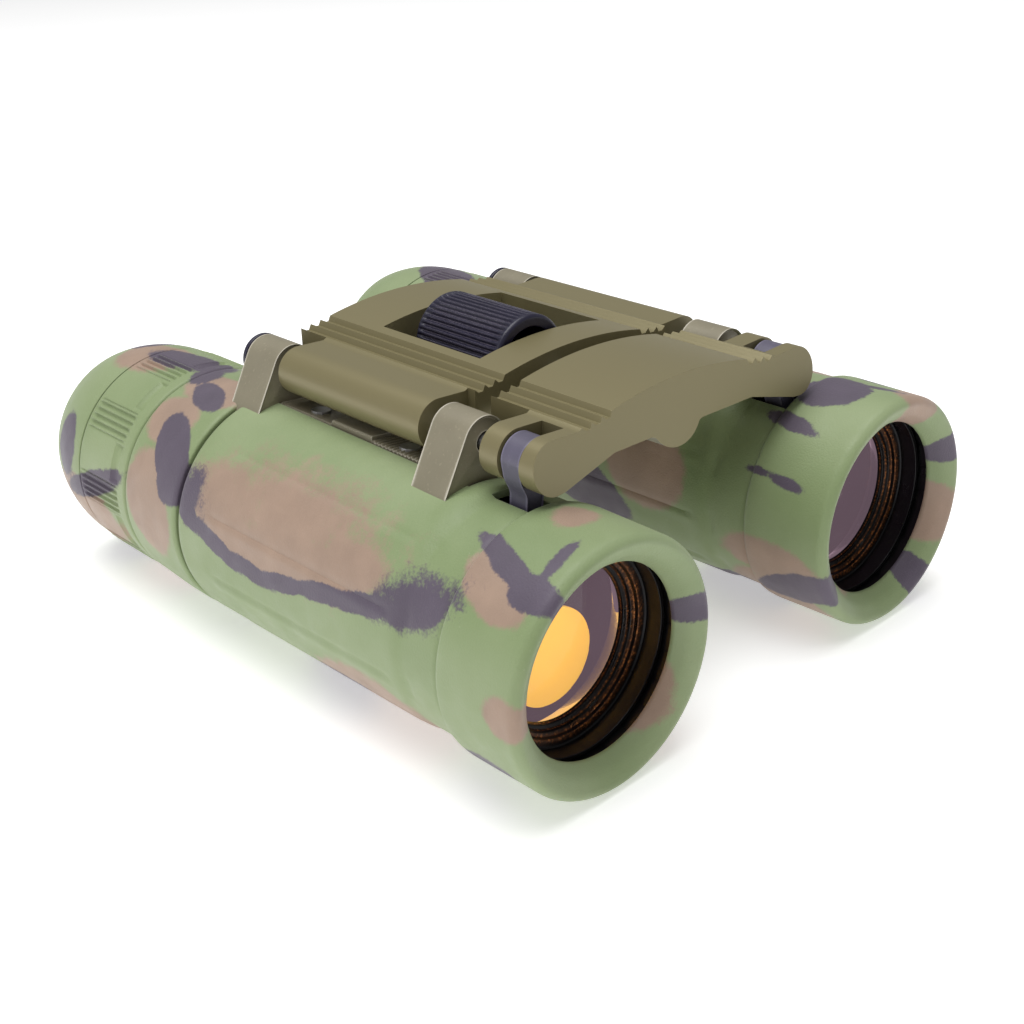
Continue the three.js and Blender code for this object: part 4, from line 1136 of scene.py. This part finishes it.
class BINOCULARS_OT_inner_parts(bpy.types.Operator):
    """Gives the pieces that keep their CAD shape their finishes: inner parts, pins, screws, nut and clip"""

    bl_idname = "binoculars.inner_parts"
    bl_label = "Inner parts"

    def execute(self, context):
        kept = [(f"{side}_{name}", finish) for finish in KEPT for name in KEPT[finish] for side in SIDES]
        kept += [(name, finish) for finish in KEPT_SINGLE for name in KEPT_SINGLE[finish]]
        for name, finish in kept:
            for place in frame["nodes"][name].material_slots:
                place.material = bpy.data.materials[finish]
        return {"FINISHED"}


# ---------------------------------------------------------------- stage
class StageSizes(bpy.types.PropertyGroup):
    """Camera and light."""

    lens: FloatProperty(name="Lens", description="Focal length of the camera in mm", default=52.0)
    key: FloatProperty(name="Key light", description="Power of the large soft light", default=6.2)
    fill: FloatProperty(name="Fill light", description="Strength of the surroundings' light", default=0.29)


class BINOCULARS_OT_stage(bpy.types.Operator):
    """Pale floor, soft studio light and the camera"""

    bl_idname = "binoculars.stage"
    bl_label = "Stage"

    def execute(self, context):
        scene, sizes = context.scene, context.scene.binocular_stage
        self.floor(scene)
        self.lights(scene, sizes)
        self.camera(scene, sizes)
        scene.view_settings.view_transform = "Standard"
        return {"FINISHED"}

    def floor(self, scene):
        """A flat pale sheet under the object."""
        mesh = bpy.data.meshes.new("floor")
        reach = 6.0
        mesh.from_pydata([(-reach, -reach, 0), (reach, -reach, 0), (reach, reach, 0), (-reach, reach, 0)], [],
                         [(0, 1, 2, 3)])
        _, shader = material("pale_floor")
        dial(shader, {"Base Color": (0.93, 0.93, 0.93, 1), "Roughness": 0.9, "Emission Color": (1, 1, 1, 1),
                      "Emission Strength": 0.42})
        mesh.materials.append(bpy.data.materials["pale_floor"])
        sheet = bpy.data.objects.new("floor", mesh)
        scene.collection.objects.link(sheet)

    def lights(self, scene, sizes):
        """One large soft light above, a weaker one beside the right barrel, and even white surroundings."""
        world = bpy.data.worlds.new("studio")
        world.use_nodes = True
        backdrop = world.node_tree.nodes["Background"]
        backdrop.inputs["Color"].default_value = (1, 1, 1, 1)
        seen = node(world.node_tree, "LightPath").outputs["Is Camera Ray"]
        level = node(world.node_tree, "MapRange", {"Value": seen, "To Min": sizes.fill, "To Max": 1.0})
        world.node_tree.links.new(level.outputs["Result"], backdrop.inputs["Strength"])
        scene.world = world
        places = (
            ("key", (-0.05, 0.05, 0.78), 0.7, sizes.key),
            ("side", (-0.7, 0.1, 0.25), 0.6, 0.14 * sizes.key),
        )
        for name, where, width, power in places:
            lamp = bpy.data.lights.new(name, "AREA")
            lamp.size, lamp.energy = width, power
            light = bpy.data.objects.new(name, lamp)
            light.location = where
            aim = -light.location
            light.rotation_euler = aim.to_track_quat("-Z", "Y").to_euler()
            scene.collection.objects.link(light)

    def camera(self, scene, sizes):
        """The camera in front of the right barrel, above it, looking down along the bridge."""
        data = bpy.data.cameras.new("camera")
        data.lens, data.sensor_width = sizes.lens, 36.0
        data.shift_x, data.shift_y = -0.0194, -0.0453
        data.clip_start = 0.005
        camera = bpy.data.objects.new("camera", data)
        camera.location = (-0.1243, -0.1457, 0.1012)
        camera.rotation_euler = [math.radians(a) for a in (65.946, 2.263, -43.601)]
        scene.collection.objects.link(camera)
        scene.camera = camera


# ---------------------------------------------------------------- panel and registration
OPERATORS = (
    BINOCULARS_OT_finishes,
    BINOCULARS_OT_hoods,
    BINOCULARS_OT_armours,
    BINOCULARS_OT_housings,
    BINOCULARS_OT_grip_rings,
    BINOCULARS_OT_eyecups,
    BINOCULARS_OT_saddles,
    BINOCULARS_OT_fixings,
    BINOCULARS_OT_rear_plate,
    BINOCULARS_OT_front_plate,
    BINOCULARS_OT_wheel,
    BINOCULARS_OT_arms,
    BINOCULARS_OT_objectives,
    BINOCULARS_OT_eyepieces,
    BINOCULARS_OT_inner_parts,
    BINOCULARS_OT_stage,
)
GROUPS = {
    "binocular_barrels": BarrelSizes,
    "binocular_bridge": BridgeSizes,
    "binocular_finishes": Finishes,
    "binocular_stage": StageSizes,
}


class BINOCULARS_PT_panel(bpy.types.Panel):
    """Lists the sizes, the colours and the steps"""

    bl_label = "Binoculars"
    bl_idname = "BINOCULARS_PT_panel"
    bl_space_type = "VIEW_3D"
    bl_region_type = "UI"
    bl_category = "Binoculars"

    def draw(self, context):
        for name, sizes in GROUPS.items():
            box = self.layout.box()
            for key in sizes.__annotations__:
                box.prop(getattr(context.scene, name), key)
        for step in OPERATORS:
            self.layout.operator(step.bl_idname)


def register():
    for made in (*GROUPS.values(), *OPERATORS, BINOCULARS_PT_panel):
        bpy.utils.register_class(made)
    for name, sizes in GROUPS.items():
        setattr(bpy.types.Scene, name, PointerProperty(type=sizes))


def unregister():
    for name in GROUPS:
        delattr(bpy.types.Scene, name)
    for made in reversed((*GROUPS.values(), *OPERATORS, BINOCULARS_PT_panel)):
        bpy.utils.unregister_class(made)


def main():
    """Builds everything in order."""
    register()
    for step in OPERATORS:
        space, name = step.bl_idname.split(".")
        getattr(getattr(bpy.ops, space), name)()


if __name__ == "__main__":
    main()
